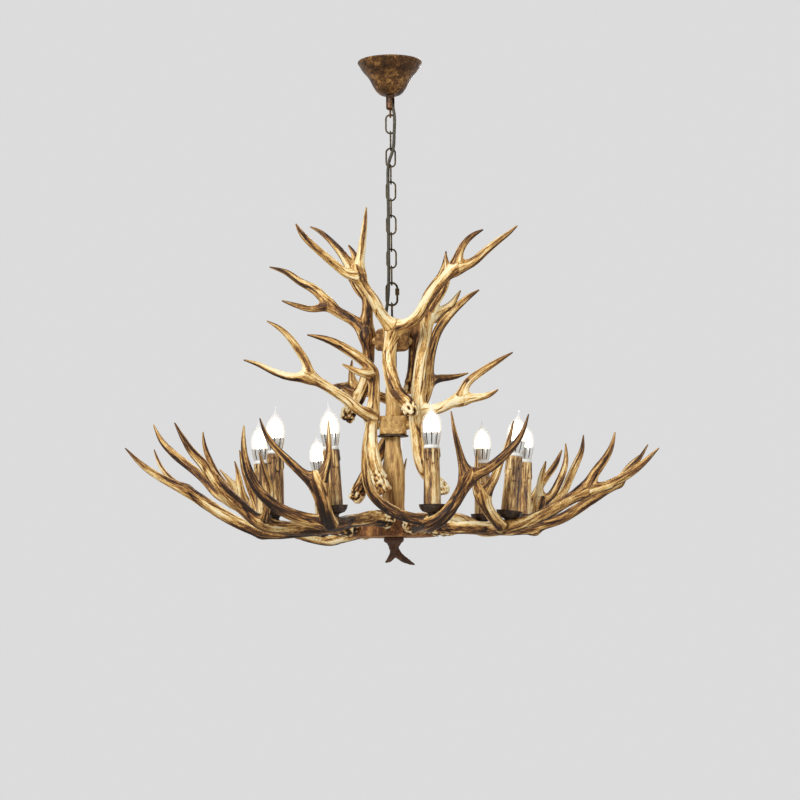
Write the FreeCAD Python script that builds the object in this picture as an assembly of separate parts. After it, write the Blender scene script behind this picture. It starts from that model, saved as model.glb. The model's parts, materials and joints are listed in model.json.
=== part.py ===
import FreeCAD, Part
import math
import os
from FreeCAD import Vector

# An antler chandelier that hangs from a ceiling on a chain. Millimetres, +Z up.
# The origin is the middle of the two screw holes in the ceiling strap, on the ceiling.
# The front of the light faces -Y.

# Driving dimensions. Heights are worked out from the ceiling down.
GAP = 0.3  # between two pieces that touch on the real light
FIT = 0.2  # radial, between a screw or pin and its hole
RUN_FIT = 0.08  # radial, where one piece turns or slides on another

strap_length, strap_width, strap_thick = 100.0, 20.0, 2.5
strap_hole_spacing, strap_hole_r = 70.0, 2.5
nipple_r, nipple_bore_r = 5.0, 3.6
nut_r, nut_height = 9.0, 5.0
block_size, block_from_axis = (14.0, 16.0, 14.0), 11.5
block_hole_r, block_hole_up = 2.2, 6.0

canopy_r, canopy_height, canopy_wall = 60.3, 64.0, 1.2
hang_collar_r, hang_collar_height, hang_collar_nose = 8.0, 24.0, 3.0
nipple_in_collar = 6.0
loop_ring_r, loop_wire_r = 6.5, 2.0

link_length, link_width, link_wire_r = 38.3, 20.0, 1.6
link_count = 10
quick_length, quick_width, quick_wire_r = 46.0, 24.0, 2.0
quick_nut_r, quick_nut_length, quick_mouth = 4.5, 12.0, 5.0
eye_ring_r, eye_wire_r, eye_shank_r = 13.0, 2.0, 4.0
eye_to_hub = 36.2

hub_r, hub_height, hub_wall, hub_chamfer = 31.5, 39.4, 6.0, 4.0
stem_r, stem_bore_r, stem_end = 8.0, 6.5, 8.0
hub_to_collar = 121.6
upper_wood_length, upper_wood_r = 59.0, 14.0
collar_half, collar_height, collar_corner = 25.0, 35.0, 8.0
flange_r, flange_thick = 28.5, 2.5
collar_to_drum = 146.0
lower_wood_top_r, lower_wood_r = 14.0, 21.5
drum_r, drum_height, drum_wall = 82.0, 41.0, 5.0
plate_thick = 3.0
connector_size, connector_from_axis = (30.0, 18.0, 14.0), 20.0
finial_cap_r, finial_neck_r, finial_neck_drop = 18.5, 9.0, 22.0

bolt_r, bolt_head_r, bolt_head_height = 3.0, 6.0, 4.0
bolt_shoulder_r, bolt_in_antler = 8.0, 12.0
peg_r, peg_in_antler = 4.0, 14.0
bracket_azimuth, bracket_width, bracket_height, bracket_thick = 72.0, 12.0, 15.0, 1.8

cord_r = 3.0
cord_hole_gap = 0.8

candle_ring_r = 250.0
dish_r, dish_base_r, dish_depth, dish_wall = 23.5, 8.0, 15.0, 1.2
first_dish_above_drum = 13.0
ferrule_r = 8.0
post_r, post_bore_r, post_in_antler, post_top = 5.0, 3.6, 10.0, 64.0
sleeve_r, sleeve_top_r, sleeve_wall, sleeve_length = 15.7, 13.7, 1.8, 109.8
holder_r, holder_length, holder_below_top = 11.0, 48.0, 1.0
cap_r, cap_length = 6.9, 20.0
ring_r, ring_height = 14.0, 6.0
fluted_bottom_r, fluted_top_r, fluted_height = 12.5, 17.0, 22.0
glass_r, glass_height = 17.5, 58.0

# Candles, from the front towards the right and round the back: azimuth in degrees, how far the
# dish hangs below the first one, lean to the right in degrees, and the antler's seat for it,
# above the drum's middle.
candles = [
    (15.5, 0, 0, 5.5),
    (54, 8, 6, -6),
    (106, 6, 2, 1),
    (137, 0, 0, 7),
    (180, 0, 0, 6),
    (-148, 19, -4.5, -13),
    (-107, 4, -3.5, 1),
    (-57, 0, 0, 5),
    (-24, 0, -3, 6),
]

# Antlers, drawn by hand. A limb is a list of (right, front, up, radius): right and front from the
# light's axis, up from the middle height of the piece that carries it. The first limb of each is
# its beam. They were drawn for the carrier sizes below and move with the real ones.
DRAWN_DRUM_R, DRAWN_RING_R, DRAWN_HUB_R, DRAWN_COLLAR_HALF = 81.5, 250.0, 31.5, 25.0
lower_antlers = {
    "lower_antler_1": [
        [(29, 76, -1, 13), (34, 89, -1, 17), (38, 102, -2, 13), (50, 160, -7, 12.5), (62, 215, -6, 13),
         (66, 240, -5, 13), (80, 254, 1, 12), (101, 258, 24, 11.5), (112, 263, 42, 11),
         (122, 267, 59, 11), (129, 269, 75, 11.5)],
        [(129, 269, 73, 8.5), (167, 270, 90, 9), (191, 270, 110, 7.5), (211, 270, 130, 6),
         (223, 270, 149, 4.3), (234, 270, 181, 1.2)],
        [(127, 268, 70, 8.5), (120, 273, 92, 8), (114, 277, 116, 5.8), (109, 280, 136, 4.8),
         (104, 283, 159, 3.3), (100, 285, 186, 1.2)],
        [(58, 228, 0, 9), (8, 236, 12, 9.5), (-23, 245, 31, 9.3), (-39, 252, 49, 8.8),
         (-47, 258, 77, 8), (-49, 262, 115, 6), (-46, 266, 149, 4), (-42, 268, 176, 1.2)],
    ],
    "lower_antler_2": [
        [(67, 49, -3, 13), (77, 56, -4, 17), (87, 63, -6, 13), (140, 102, -8, 11.5),
         (202, 147, -10, 11.4), (260, 165, 10, 11), (295, 174, 29, 10.5), (325, 182, 47, 10.5),
         (336, 184, 52, 10.5)],
        [(334, 184, 50, 8), (356, 193, 87, 8.3), (371, 197, 106, 7), (383, 200, 129, 4.5),
         (389, 200, 154, 1.2)],
        [(334, 184, 51, 8), (370, 188, 59, 8.5), (402, 186, 74, 7.5), (429, 184, 92, 6.5),
         (448, 182, 108, 4.5), (468, 180, 127, 1.2)],
        [(190, 158, -8, 10), (172, 175, 11, 10.5), (160, 180, 31, 10.5), (156, 184, 48, 11)],
        [(157, 183, 45, 8), (144, 190, 60, 6), (146, 190, 95, 3.8), (147, 190, 126, 1.2)],
        [(157, 183, 44, 8), (179, 192, 79, 8), (186, 192, 100, 6.5), (198, 192, 126, 5),
         (206, 192, 152, 3.3), (212, 192, 176, 1.2)],
    ],
    "lower_antler_3": [
        [(80, -20, -2, 13), (92, -23, -3, 17), (105, -26, -4, 13), (170, -45, -5, 11.5),
         (240, -69, -6, 10), (275, -66, 2, 10), (313, -58, 14, 10.3), (350, -48, 36, 9.5),
         (387, -36, 60, 8.7), (415, -26, 78, 7.8), (430, -18, 96, 6.3), (450, -10, 116, 4.5),
         (469, -2, 146, 1.2)],
        [(418, -30, 76, 6), (436, -38, 109, 4), (458, -42, 129, 1.2)],
        [(262, -72, -8, 9), (271, -110, 32, 8.5), (276, -113, 50, 8.5)],
        [(276, -113, 48, 6.5), (275, -112, 75, 6.3), (282, -112, 104, 5), (288, -112, 124, 1.2)],
        [(275, -113, 44, 6.5), (296, -118, 56, 7.5), (309, -122, 77, 7.5), (318, -122, 95, 7),
         (327, -126, 125, 5), (327, -128, 158, 1.2)],
    ],
    "lower_antler_4": [
        [(57, -59, 6, 14), (67, -69, 10, 18), (76, -79, 14, 15), (112, -115, 16, 13.5),
         (148, -155, 7, 13), (170, -183, -3, 12.5), (215, -203, 2, 11.5), (262, -214, 22, 10.5),
         (300, -220, 48, 9.5), (325, -225, 65, 8.5), (340, -232, 94, 7.7), (354, -238, 124, 7),
         (367, -243, 152, 5), (371, -248, 183, 1.2)],
        [(240, -209, 10, 9), (270, -203, 62, 7.5), (288, -200, 90, 6.5), (314, -200, 126, 5.5),
         (325, -200, 151, 1.2)],
    ],
    "lower_antler_5": [
        [(0, -82, -1, 13), (0, -95, -1, 17), (0, -108, -2, 13), (2, -170, -7, 12.5),
         (0, -250, -4, 12.5), (-3, -320, 10, 11), (-4, -375, 40, 10)],
        [(-4, -372, 38, 8), (-8, -405, 85, 7), (-8, -425, 130, 1.2)],
        [(-4, -370, 36, 8), (6, -415, 70, 7.5), (12, -450, 110, 5), (12, -468, 150, 1.2)],
        [(6, -264, -2, 9), (14, -286, 22, 8), (13, -280, 83, 5.5), (26, -280, 142, 1.2)],
    ],
    "lower_antler_6": [
        [(-43, -69, -3, 13), (-50, -80, -5, 17), (-57, -91, -8, 13), (-88, -143, -13, 11.5),
         (-132, -212, -20, 9.6), (-180, -236, -7.2, 10.1), (-228, -250, 12, 10.3), (-266, -256, 34, 10),
         (-302, -257, 66, 9)],
        [(-300, -257, 63, 7.2), (-343, -255, 110, 7.2), (-357, -255, 138, 6), (-368, -255, 170, 4.3),
         (-371, -255, 196, 1.2)],
        [(-301, -256, 64, 6.5), (-317, -232, 99, 4.5), (-336, -222, 120, 1.2)],
        [(-290, -255, 56, 7), (-296, -242, 83, 6), (-301, -240, 113, 4.5), (-308, -240, 137, 1.2)],
    ],
    "lower_antler_7": [
        [(-79, -24, -1, 13), (-91, -28, -2, 17), (-104, -32, -3, 13), (-165, -51, -6, 11.5),
         (-239, -74, -7.5, 11), (-278, -76, 5, 11), (-316, -76, 25, 11), (-359, -73, 54, 11),
         (-389, -70, 73, 9.5), (-418, -68, 87, 8), (-464, -62, 116, 6), (-499, -55, 151, 1.2)],
        [(-385, -74, 74, 6), (-412, -92, 90, 5), (-437, -98, 118, 4), (-450, -102, 151, 1.2)],
        [(-246, -80, -8, 9), (-256, -118, 39, 7.5), (-272, -118, 80, 6.5), (-284, -118, 118, 4.8),
         (-290, -118, 150, 1.2)],
    ],
    "lower_antler_8": [
        [(-69, 45, -3, 13), (-80, 52, -3, 17), (-90, 58, -4, 13), (-145, 94, -7, 12.5),
         (-205, 134, -5, 12.5), (-234, 152, 1, 12), (-272, 158, 33, 11), (-300, 162, 60, 10.5),
         (-320, 165, 85, 10), (-336, 168, 107, 8.5), (-355, 171, 127, 7), (-370, 174, 151, 5),
         (-385, 177, 179, 1.2)],
        [(-285, 152, 38, 8), (-312, 138, 53, 8), (-338, 126, 83, 8), (-362, 118, 103, 7.5),
         (-392, 110, 127, 7), (-416, 104, 153, 5), (-430, 100, 182, 1.2)],
        [(-228, 152, 4, 7), (-222, 182, 26, 6.5), (-215, 186, 60, 6), (-221, 188, 77, 5.5),
         (-228, 188, 99, 4.5), (-235, 188, 124, 1.2)],
    ],
    "lower_antler_9": [
        [(-7, 83, 8, 12), (-14, 94, 9, 15), (-33, 108, 11, 14), (-60, 138, 6, 12), (-82, 178, 2, 11.5),
         (-102, 228, -4, 12.5), (-127, 243, -1, 12), (-169, 252, 9, 11), (-203, 256, 26, 10),
         (-229, 259, 49, 9.3), (-247, 261, 81, 8.5), (-256, 263, 114, 6), (-258, 263, 140, 4.3),
         (-257, 263, 166, 1.2)],
        [(-110, 245, -2, 11), (-118, 272, 18, 12), (-125, 278, 49, 14), (-132, 281, 71, 13)],
        [(-129, 280, 64, 10), (-150, 283, 76, 8.5), (-174, 286, 98, 7.5), (-198, 289, 121, 6.5),
         (-212, 290, 138, 5.5), (-221, 291, 155, 3.5), (-228, 291, 176, 1.2)],
        [(-128, 279, 60, 9.5), (-118, 286, 82, 8), (-111, 288, 106, 6), (-110, 288, 135, 4.5),
         (-111, 288, 171, 1.2)],
    ],
}
hub_antlers = {
    "hub_antler_front": [
        [(33, 74, -146, 9), (33, 73, -134, 12), (27, 70, -122, 11.5), (12, 67, -111, 12),
         (-4, 59, -68, 11.5), (-6, 49, -25, 11.5), (0, 49, 8, 12), (3, 51, 17, 12)],
        [(3, 51, 14, 9.5), (-22, 69, 42, 9.5), (-32, 79, 64, 9), (-47, 85, 82, 8.5),
         (-60, 92, 109, 8.5), (-62, 95, 119, 8)],
        [(-61, 94, 114, 6.5), (-54, 100, 153, 6.5), (-50, 103, 183, 5), (-47, 104, 208, 3.5),
         (-45, 105, 230, 1.2)],
        [(-59, 92, 106, 7.5), (-78, 98, 108, 7.5), (-103, 105, 127, 7), (-134, 112, 153, 6),
         (-165, 120, 185, 4), (-172, 122, 198, 1.2)],
        [(3, 51, 12, 10), (28, 60, 21, 10), (48, 72, 36, 9.5), (62, 80, 61, 9), (76, 88, 80, 9),
         (96, 95, 102, 8.5), (108, 98, 113, 8.5), (119, 100, 120, 8.5)],
        [(114, 99, 116, 7), (118, 102, 132, 7), (125, 104, 152, 6), (138, 106, 170, 5),
         (151, 107, 180, 4), (166, 108, 187, 1.2)],
        [(117, 100, 119, 7.5), (138, 105, 123, 7.5), (173, 112, 150, 6), (194, 118, 166, 5),
         (212, 122, 178, 3.5), (227, 125, 191, 1.2)],
    ],
    "hub_antler_left": [
        [(-88, -49, -143, 10), (-82, -45, -133, 13), (-73, -40, -117, 11), (-61, -35, -97, 10.5),
         (-48, -27, -62, 10), (-44, -21, -22, 10), (-45, -19, 2, 10.5), (-47, -20, 15, 10.5)],
        [(-47, -20, 11, 8.5), (-70, -28, 39, 9), (-106, -38, 61, 8.5), (-127, -48, 85, 8.5),
         (-144, -52, 103, 8), (-172, -58, 118, 6.5), (-197, -62, 137, 5), (-230, -66, 148, 1.2)],
        [(-118, -42, 72, 7), (-147, -38, 63, 5.5), (-178, -40, 71, 4.5), (-206, -44, 81, 1.2)],
        [(-47, -20, 9, 9), (-46, -30, 52, 9.5), (-47, -40, 86, 9), (-60, -55, 100, 8.5),
         (-81, -75, 152, 7.5), (-100, -85, 183, 6.5), (-118, -92, 204, 5), (-138, -98, 222, 3.5),
         (-154, -103, 230, 1.2)],
        [(-72, -68, 130, 6), (-68, -80, 171, 4.5), (-81, -85, 191, 1.2)],
        [(-66, -37, -105, 6), (-86, -32, -89, 5), (-104, -30, -77, 1.2)],
    ],
    "hub_antler_right": [
        [(31, -50, -92, 9.5), (34, -44, -82, 12.5), (37, -38, -66, 10.5), (40, -28, -40, 10),
         (41, -24, -15, 10), (43, -22, 8, 10.5), (47, -24, 23, 10.5)],
        [(46, -24, 19, 8.5), (59, -45, 63, 9), (72, -60, 99, 8.5), (94, -68, 121, 7),
         (118, -72, 135, 4), (128, -74, 143, 1.2)],
        [(88, -66, 115, 6), (100, -78, 150, 5), (103, -84, 178, 1.2)],
        [(46, -24, 17, 8.5), (55, -62, 43, 9), (74, -110, 53, 8), (100, -150, 68, 6.5),
         (125, -175, 93, 1.2)],
        [(82, -125, 58, 6), (86, -155, 85, 5), (84, -185, 113, 1.2)],
    ],
}
collar_antlers = {
    "collar_antler_left": [
        [(-15, 38, -124, 13), (-26, 40, -101, 12), (-35, 36, -64, 11), (-40, 20, -23, 10),
         (-40, 17, 0, 10), (-36, 18, 29, 10), (-34, 15, 75, 9.5), (-38, 17, 101, 9.3),
         (-49, 20, 115, 8.5), (-77, 25, 135, 8), (-102, 28, 150, 7), (-127, 30, 160, 5),
         (-156, 32, 166, 1.2)],
        [(-40, 20, 96, 7), (-47, 30, 92, 6.5), (-71, 35, 100, 5), (-92, 37, 111, 1.2)],
        [(-38, 21, 16, 9), (-58, 35, 24, 9), (-85, 45, 46, 8.5), (-102, 50, 57, 8), (-127, 55, 73, 8),
         (-154, 62, 88, 7.5)],
        [(-152, 61, 86, 6.5), (-156, 66, 110, 7), (-170, 70, 133, 6.5), (-186, 74, 156, 5.5),
         (-205, 78, 174, 4), (-227, 80, 186, 1.2)],
        [(-150, 61, 84, 6.5), (-193, 70, 86, 6.5), (-218, 76, 95, 5.5), (-242, 81, 107, 4),
         (-269, 85, 115, 1.2)],
    ],
    "collar_antler_right": [
        [(90, 0, -127, 11), (88, 2, -119, 14), (74, 8, -102, 12.5), (58, 15, -82, 12.5),
         (47, 18, -26, 13), (44, 20, 0, 12.5), (46, 20, 47, 12), (53, 22, 120, 10.5),
         (63, 25, 175, 9.5), (66, 27, 208, 9)],
        [(66, 27, 204, 7.2), (73, 30, 217, 8), (84, 32, 232, 7.5), (94, 35, 246, 7), (99, 38, 259, 6.5),
         (103, 40, 273, 6), (101, 40, 295, 4.5), (99, 40, 315, 1.2)],
        [(65, 26, 196, 7), (76, 20, 201, 7.5), (89, 17, 209, 7), (106, 15, 218, 6.5),
         (117, 12, 233, 4.5), (127, 10, 249, 1.2)],
        [(52, 22, 26, 10), (69, 28, 26, 9), (92, 32, 31, 8.5), (110, 38, 41, 8), (127, 43, 45, 7.5)],
        [(124, 42, 44, 6.5), (132, 48, 69, 7), (166, 55, 96, 6), (192, 60, 112, 4.5), (219, 65, 127, 1.2)],
        [(122, 42, 44, 6.5), (158, 50, 47, 6), (177, 55, 51, 4.5), (192, 60, 60, 1.2)],
    ],
    "collar_antler_back": [
        [(-74, -79, -132, 10), (-68, -75, -123, 13), (-56, -68, -97, 11.5), (-32, -56, -57, 11),
         (-8, -46, -18, 10.5), (0, -44, 0, 10.5), (18, -46, 22, 10.5), (26, -48, 30, 10.5)],
        [(25, -48, 28, 9), (47, -47, 37, 9.5), (62, -44, 60, 9), (66, -42, 99, 9), (73, -40, 146, 8.5),
         (86, -38, 182, 8), (112, -36, 215, 7), (146, -35, 245, 4.5), (163, -35, 256, 1.2)],
        [(66, -43, 84, 7), (88, -56, 93, 6.5), (113, -60, 95, 5), (142, -62, 103, 1.2)],
        [(24, -48, 26, 9), (8, -68, 45, 9), (-35, -85, 67, 8), (-70, -92, 82, 7), (-78, -94, 107, 5),
         (-76, -95, 133, 1.2)],
        [(-66, -91, 80, 6), (-105, -110, 85, 5), (-125, -118, 83, 1.2)],
    ],
}
# Direction of the bolt that holds each upper antler.
hub_bolt_azimuths = {"hub_antler_front": 0, "hub_antler_left": -113, "hub_antler_right": 118}
collar_bolt_azimuths = {"collar_antler_left": -67, "collar_antler_right": 65.6,
                        "collar_antler_back": 180}

# The flex, from inside the canopy to inside the hub: right, front, height below the ceiling.
# It changes side where the third link leaves room. The lower points move with the hub.
DRAWN_HUB_TOP = -503.0
CORD_HUB_POINTS = 3
cord_points = [
    (0, 0, -55), (0, 0, -73), (6.6, 4.6, -92), (8, 5.5, -111), (6.8, 5.7, -137),
    (5.7, 5.6, -167), (-5.5, 5.6, -193), (-5.6, 5.2, -238), (-4.9, 5.5, -295), (-5.5, 5.1, -350),
    (-5.2, 5.6, -405),
    (-7, 6.5, -450), (-13, 8, -482), (-14.5, 9, -512),
]

# Heights that follow from the sizes above.
link_half = link_length / 2 - link_wire_r
link_side = link_width / 2 - link_wire_r
link_pitch = 2 * link_half - 2 * link_wire_r - GAP
quick_half = quick_length / 2 - quick_wire_r
quick_side = quick_width / 2 - quick_wire_r
hang_collar_bottom = -canopy_height - hang_collar_height
loop_z = hang_collar_bottom - hang_collar_nose - loop_ring_r - 0.4
first_link_z = loop_z - loop_ring_r + loop_wire_r + link_wire_r + GAP - link_half
last_link_z = first_link_z - (link_count - 1) * link_pitch
quick_z = last_link_z - link_half + link_wire_r + quick_wire_r + GAP - quick_half
eye_z = quick_z - quick_half + quick_wire_r + eye_wire_r + GAP - eye_ring_r
hub_top = eye_z - eye_to_hub
hub_middle = hub_top - hub_height / 2
hub_bottom = hub_top - hub_height
collar_top = hub_bottom - hub_to_collar
collar_middle = collar_top - collar_height / 2
collar_bottom = collar_top - collar_height
drum_top = collar_bottom - collar_to_drum
drum_middle = drum_top - drum_height / 2
drum_bottom = drum_top - drum_height

UP = Vector(0, 0, 1)


def compass(azimuth, radius, z=0.0):
    """A point round the axis. Azimuth 0 is the front, and it grows to the right."""
    a = math.radians(azimuth)
    return Vector(radius * math.sin(a), -radius * math.cos(a), z)


def rod(radius, start, end):
    return Part.makeCylinder(radius, (end - start).Length, start, end - start)


def disc(radius, z, height, x=0.0, y=0.0):
    return Part.makeCylinder(radius, height, Vector(x, y, z), UP)


def turned(profile):
    """A solid of revolution about Z from (radius, height) points."""
    points = [Vector(r, 0, z) for r, z in profile]
    wire = Part.makePolygon(points + points[:1])
    return Part.Face(wire).revolve(Vector(), UP, 360)


def turned_smooth(outer, axis_points):
    """The same, with the outer line as one smooth curve, closed by straight lines."""
    curve = Part.BSplineCurve()
    curve.interpolate([Vector(r, 0, z) for r, z in outer])
    corners = [curve.value(curve.LastParameter)] + [Vector(r, 0, z) for r, z in axis_points]
    closing = Part.makePolygon(corners + [curve.value(curve.FirstParameter)])
    wire = Part.Wire([curve.toShape()] + closing.Edges)
    return Part.Face(wire).revolve(Vector(), UP, 360)


def ring_at(point, direction, radius):
    return Part.Wire([Part.Circle(point, direction, radius).toShape()])


def save(name, *solids):
    """Writes one node. Several solids stay separate in it."""
    shape = solids[0] if len(solids) == 1 else Part.makeCompound(list(solids))
    if not shape.isValid() or len(shape.Solids) != len(solids):
        print("look at", name, shape.isValid(), len(shape.Solids))
    shape.exportStep("parts/" + name + ".step")
    made[name] = shape


def oval_link(half, side, wire_r, z, face_on):
    """An oval chain link. Face on, the viewer in front looks through it."""
    straight = half - side
    across = Vector(1, 0, 0) if face_on else Vector(0, 1, 0)
    normal = Vector(0, 1, 0) if face_on else Vector(1, 0, 0)
    corner = [Vector(0, 0, z + end * straight) + across * (side * hand)
              for end, hand in ((1, -1), (1, 1), (-1, 1), (-1, -1))]
    top, low = Vector(0, 0, z + half), Vector(0, 0, z - half)
    path = Part.Wire([Part.Arc(corner[0], top, corner[1]).toShape(),
                      Part.LineSegment(corner[1], corner[2]).toShape(),
                      Part.Arc(corner[2], low, corner[3]).toShape(),
                      Part.LineSegment(corner[3], corner[0]).toShape()])
    section = ring_at(corner[0], UP, wire_r)
    link = path.makePipeShell([section], True, False)
    return link


def nut(radius, z, height, bore):
    """A hexagon nut on the axis."""
    corners = [compass(60 * k, radius, z) for k in range(6)]
    body = Part.Face(Part.makePolygon(corners + corners[:1])).extrude(Vector(0, 0, height))
    return body.cut(disc(bore, z - 1, height + 2))


def limb(points):
    """One tapering limb of an antler, round in section, through (Vector, radius) points."""
    rings = []
    for i, (place, radius) in enumerate(points):
        before = points[max(i - 1, 0)][0]
        after = points[min(i + 1, len(points) - 1)][0]
        rings.append(ring_at(place, after - before, radius))
    return Part.makeLoft(rings, True, False)


def fused_limbs(limbs):
    body = limb(limbs[0])
    for points in limbs[1:]:
        body = body.fuse(limb(points))
    return body


# ---- ceiling ----


def make_ceiling():
    strap = Part.makeBox(strap_length, strap_width, strap_thick,
                         Vector(-strap_length / 2, -strap_width / 2, -strap_thick))
    strap = strap.cut(disc(nipple_r + FIT, -strap_thick - 1, strap_thick + 2))
    for side in (-1, 1):
        strap = strap.cut(disc(strap_hole_r, -strap_thick - 1, strap_thick + 2,
                               side * strap_hole_spacing / 2))
    save("ceiling_strap", strap)

    end = -canopy_height - nipple_in_collar
    tube = disc(nipple_r, end, -GAP - end)
    save("hanging_nipple", tube.cut(disc(nipple_bore_r, end - 1, 2 - end)))
    bore = nipple_r + FIT
    save("nipple_nuts",
         nut(nut_r, -strap_thick - GAP - nut_height, nut_height, bore),
         nut(nut_r, -canopy_height + canopy_wall + GAP, nut_height, bore))

    # a terminal block for the mains wires, on the strap beside the nipple
    length, width, height = block_size
    low = -strap_thick - GAP - height
    left = -block_from_axis - length
    block = Part.makeBox(length, width, height, Vector(left, -width / 2, low))
    for x in (left + 0.25 * length, left + 0.75 * length):
        block = block.cut(rod(block_hole_r, Vector(x, -width / 2 - 1, low + block_hole_up),
                              Vector(x, width / 2 + 1, low + block_hole_up)))
    save("terminal_block", block)


def canopy_line(inset):
    """The bell's outline from the rim down, moved inwards by inset."""
    r, h = canopy_r - inset, canopy_height - inset
    line = [(0.978, 0), (1, 0.031), (0.975, 0.08), (0.866, 0.25), (0.697, 0.437), (0.58, 0.625),
            (0.45, 0.844), (0.32, 0.965), (0.22, 1)]
    return [(r * a, -h * b) for a, b in line]


def make_canopy():
    outer = turned_smooth(canopy_line(0), [(0, -canopy_height), (0, 0)])
    inner = turned_smooth(canopy_line(canopy_wall), [(0, canopy_wall - canopy_height), (0, 0)])
    save("canopy", outer.cut(inner).cut(disc(nipple_r + GAP, -canopy_height - 1, 5)))


def make_hang_collar():
    """A turned collar on the nipple, with the flex's window and a loop for the chain."""
    top, low = -canopy_height - GAP, hang_collar_bottom
    nose = low - hang_collar_nose
    r = hang_collar_r
    body = turned([(0, nose), (0.69 * r, nose), (r, low), (r, top), (0, top)])
    body = body.cut(disc(nipple_r + FIT, -canopy_height - nipple_in_collar - GAP,
                         nipple_in_collar + 2))
    chamber_top = -canopy_height - nipple_in_collar
    body = body.cut(disc(nipple_r, low, chamber_top - low))
    body = body.cut(disc(loop_wire_r + FIT, nose - 1, hang_collar_nose + 2))
    centre, normal = Vector(0, 0, loop_z), Vector(1, 0, 0)
    body = body.cut(Part.makeTorus(loop_ring_r, loop_wire_r + GAP, centre, normal))
    half = cord_r + 1.2
    azimuth = math.degrees(math.atan2(cord_points[2][0], cord_points[2][1]))
    for start, bottom, high in ((0, low, chamber_top), (loop_wire_r + 0.9, nose - 1, low)):
        slot = Part.makeBox(2 * half, 2 * r, high - bottom, Vector(-half, -start - 2 * r, bottom))
        slot.rotate(Vector(), UP, azimuth)
        body = body.cut(slot)
    save("hang_collar", body)
    ring = Part.makeTorus(loop_ring_r, loop_wire_r, centre, normal)
    stalk = disc(loop_wire_r, loop_z + loop_ring_r, low - loop_z - loop_ring_r)
    save("canopy_loop", ring.fuse(stalk))


# ---- chain ----


def make_chain():
    save("chain_link_top", oval_link(link_half, link_side, link_wire_r, first_link_z, True))
    save("chain_links", *[oval_link(link_half, link_side, link_wire_r,
                                    first_link_z - k * link_pitch, k % 2 == 0)
                          for k in range(1, link_count)])

    quick = oval_link(quick_half, quick_side, quick_wire_r, quick_z, True)
    mouth = Part.makeBox(4 * quick_wire_r, 4 * quick_wire_r, quick_mouth,
                         Vector(quick_side - 2 * quick_wire_r, -2 * quick_wire_r, quick_z + 1))
    save("quick_link", quick.cut(mouth))
    sleeve = nut(quick_nut_r, quick_z - 2, quick_nut_length,
                 quick_wire_r + RUN_FIT)
    sleeve.translate(Vector(quick_side, 0, 0))
    save("quick_link_nut", sleeve)


def make_cord():
    """Straight runs joined by tangent arcs, each arc as large as its two runs allow."""
    moved = hub_top - DRAWN_HUB_TOP
    first_moved = len(cord_points) - CORD_HUB_POINTS
    route = [Vector(x, -front, z + (moved if i >= first_moved else 0))
             for i, (x, front, z) in enumerate(cord_points)]
    edges, radii, at = [], [], route[0]
    for i in range(1, len(route) - 1):
        into, out = route[i] - route[i - 1], route[i + 1] - route[i]
        turn = into.getAngle(out)
        reach = 0.45 * min(into.Length, out.Length)
        radius = reach / math.tan(turn / 2)
        start = route[i] - Vector(into).normalize() * reach
        end = route[i] + Vector(out).normalize() * reach
        inward = (start + end) * 0.5 - route[i]
        inward.normalize()
        middle = route[i] + inward * (radius / math.cos(turn / 2) - radius)
        edges.append(Part.LineSegment(at, start).toShape())
        edges.append(Part.Arc(start, middle, end).toShape())
        radii.append(radius)
        at = end
    edges.append(Part.LineSegment(at, route[-1]).toShape())
    path = Part.Wire(edges)
    tube = path.makePipeShell([ring_at(route[0], route[1] - route[0], cord_r)], True, False)
    print("flex: length %.1f, radii %s" % (path.Length, ["%.0f" % r for r in radii]))
    print("flex: volume ratio %.5f" % (tube.Volume / (math.pi * cord_r**2 * path.Length)))
    save("flex", tube)


# ---- body ----


def bolt_hole(azimuth, from_r, to_r, z):
    return rod(bolt_r + FIT, compass(azimuth, from_r, z), compass(azimuth, to_r, z))


def make_hub():
    ring = Part.makeTorus(eye_ring_r, eye_wire_r, Vector(0, 0, eye_z), Vector(1, 0, 0))
    low = hub_top - hub_wall - nut_height - 3
    shank = disc(eye_shank_r, low, eye_z - eye_ring_r - low)
    foot = disc(eye_shank_r + 4, hub_top + GAP, 4)
    neck = disc(eye_shank_r + 1.5, hub_top + GAP, 10)
    save("eye_bolt", ring.fuse(shank).fuse(foot).fuse(neck))
    save("eye_bolt_nut", nut(eye_shank_r + 4, hub_top - hub_wall - GAP - nut_height, nut_height,
                             eye_shank_r + FIT))

    c, r, low = hub_chamfer, hub_r, hub_bottom
    hub = turned([(0, low), (r - c, low), (r, low + c), (r, hub_top - c), (r - c, hub_top),
                  (0, hub_top)])
    hub = hub.cut(disc(r - hub_wall, low + hub_wall, hub_height - 2 * hub_wall))
    hub = hub.cut(disc(eye_shank_r + FIT, hub_top - hub_wall - 1, hub_wall + 2))
    right, front, _ = cord_points[-1]
    hub = hub.cut(disc(cord_r + cord_hole_gap, hub_top - hub_wall - 1, hub_wall + 2, right, -front))
    hub = hub.cut(disc(stem_r + FIT, low - 1, hub_wall + 2))
    for azimuth in hub_bolt_azimuths.values():
        hub = hub.cut(bolt_hole(azimuth, r - hub_wall - 2, r + 1, hub_middle))
    save("upper_hub", hub)


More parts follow.
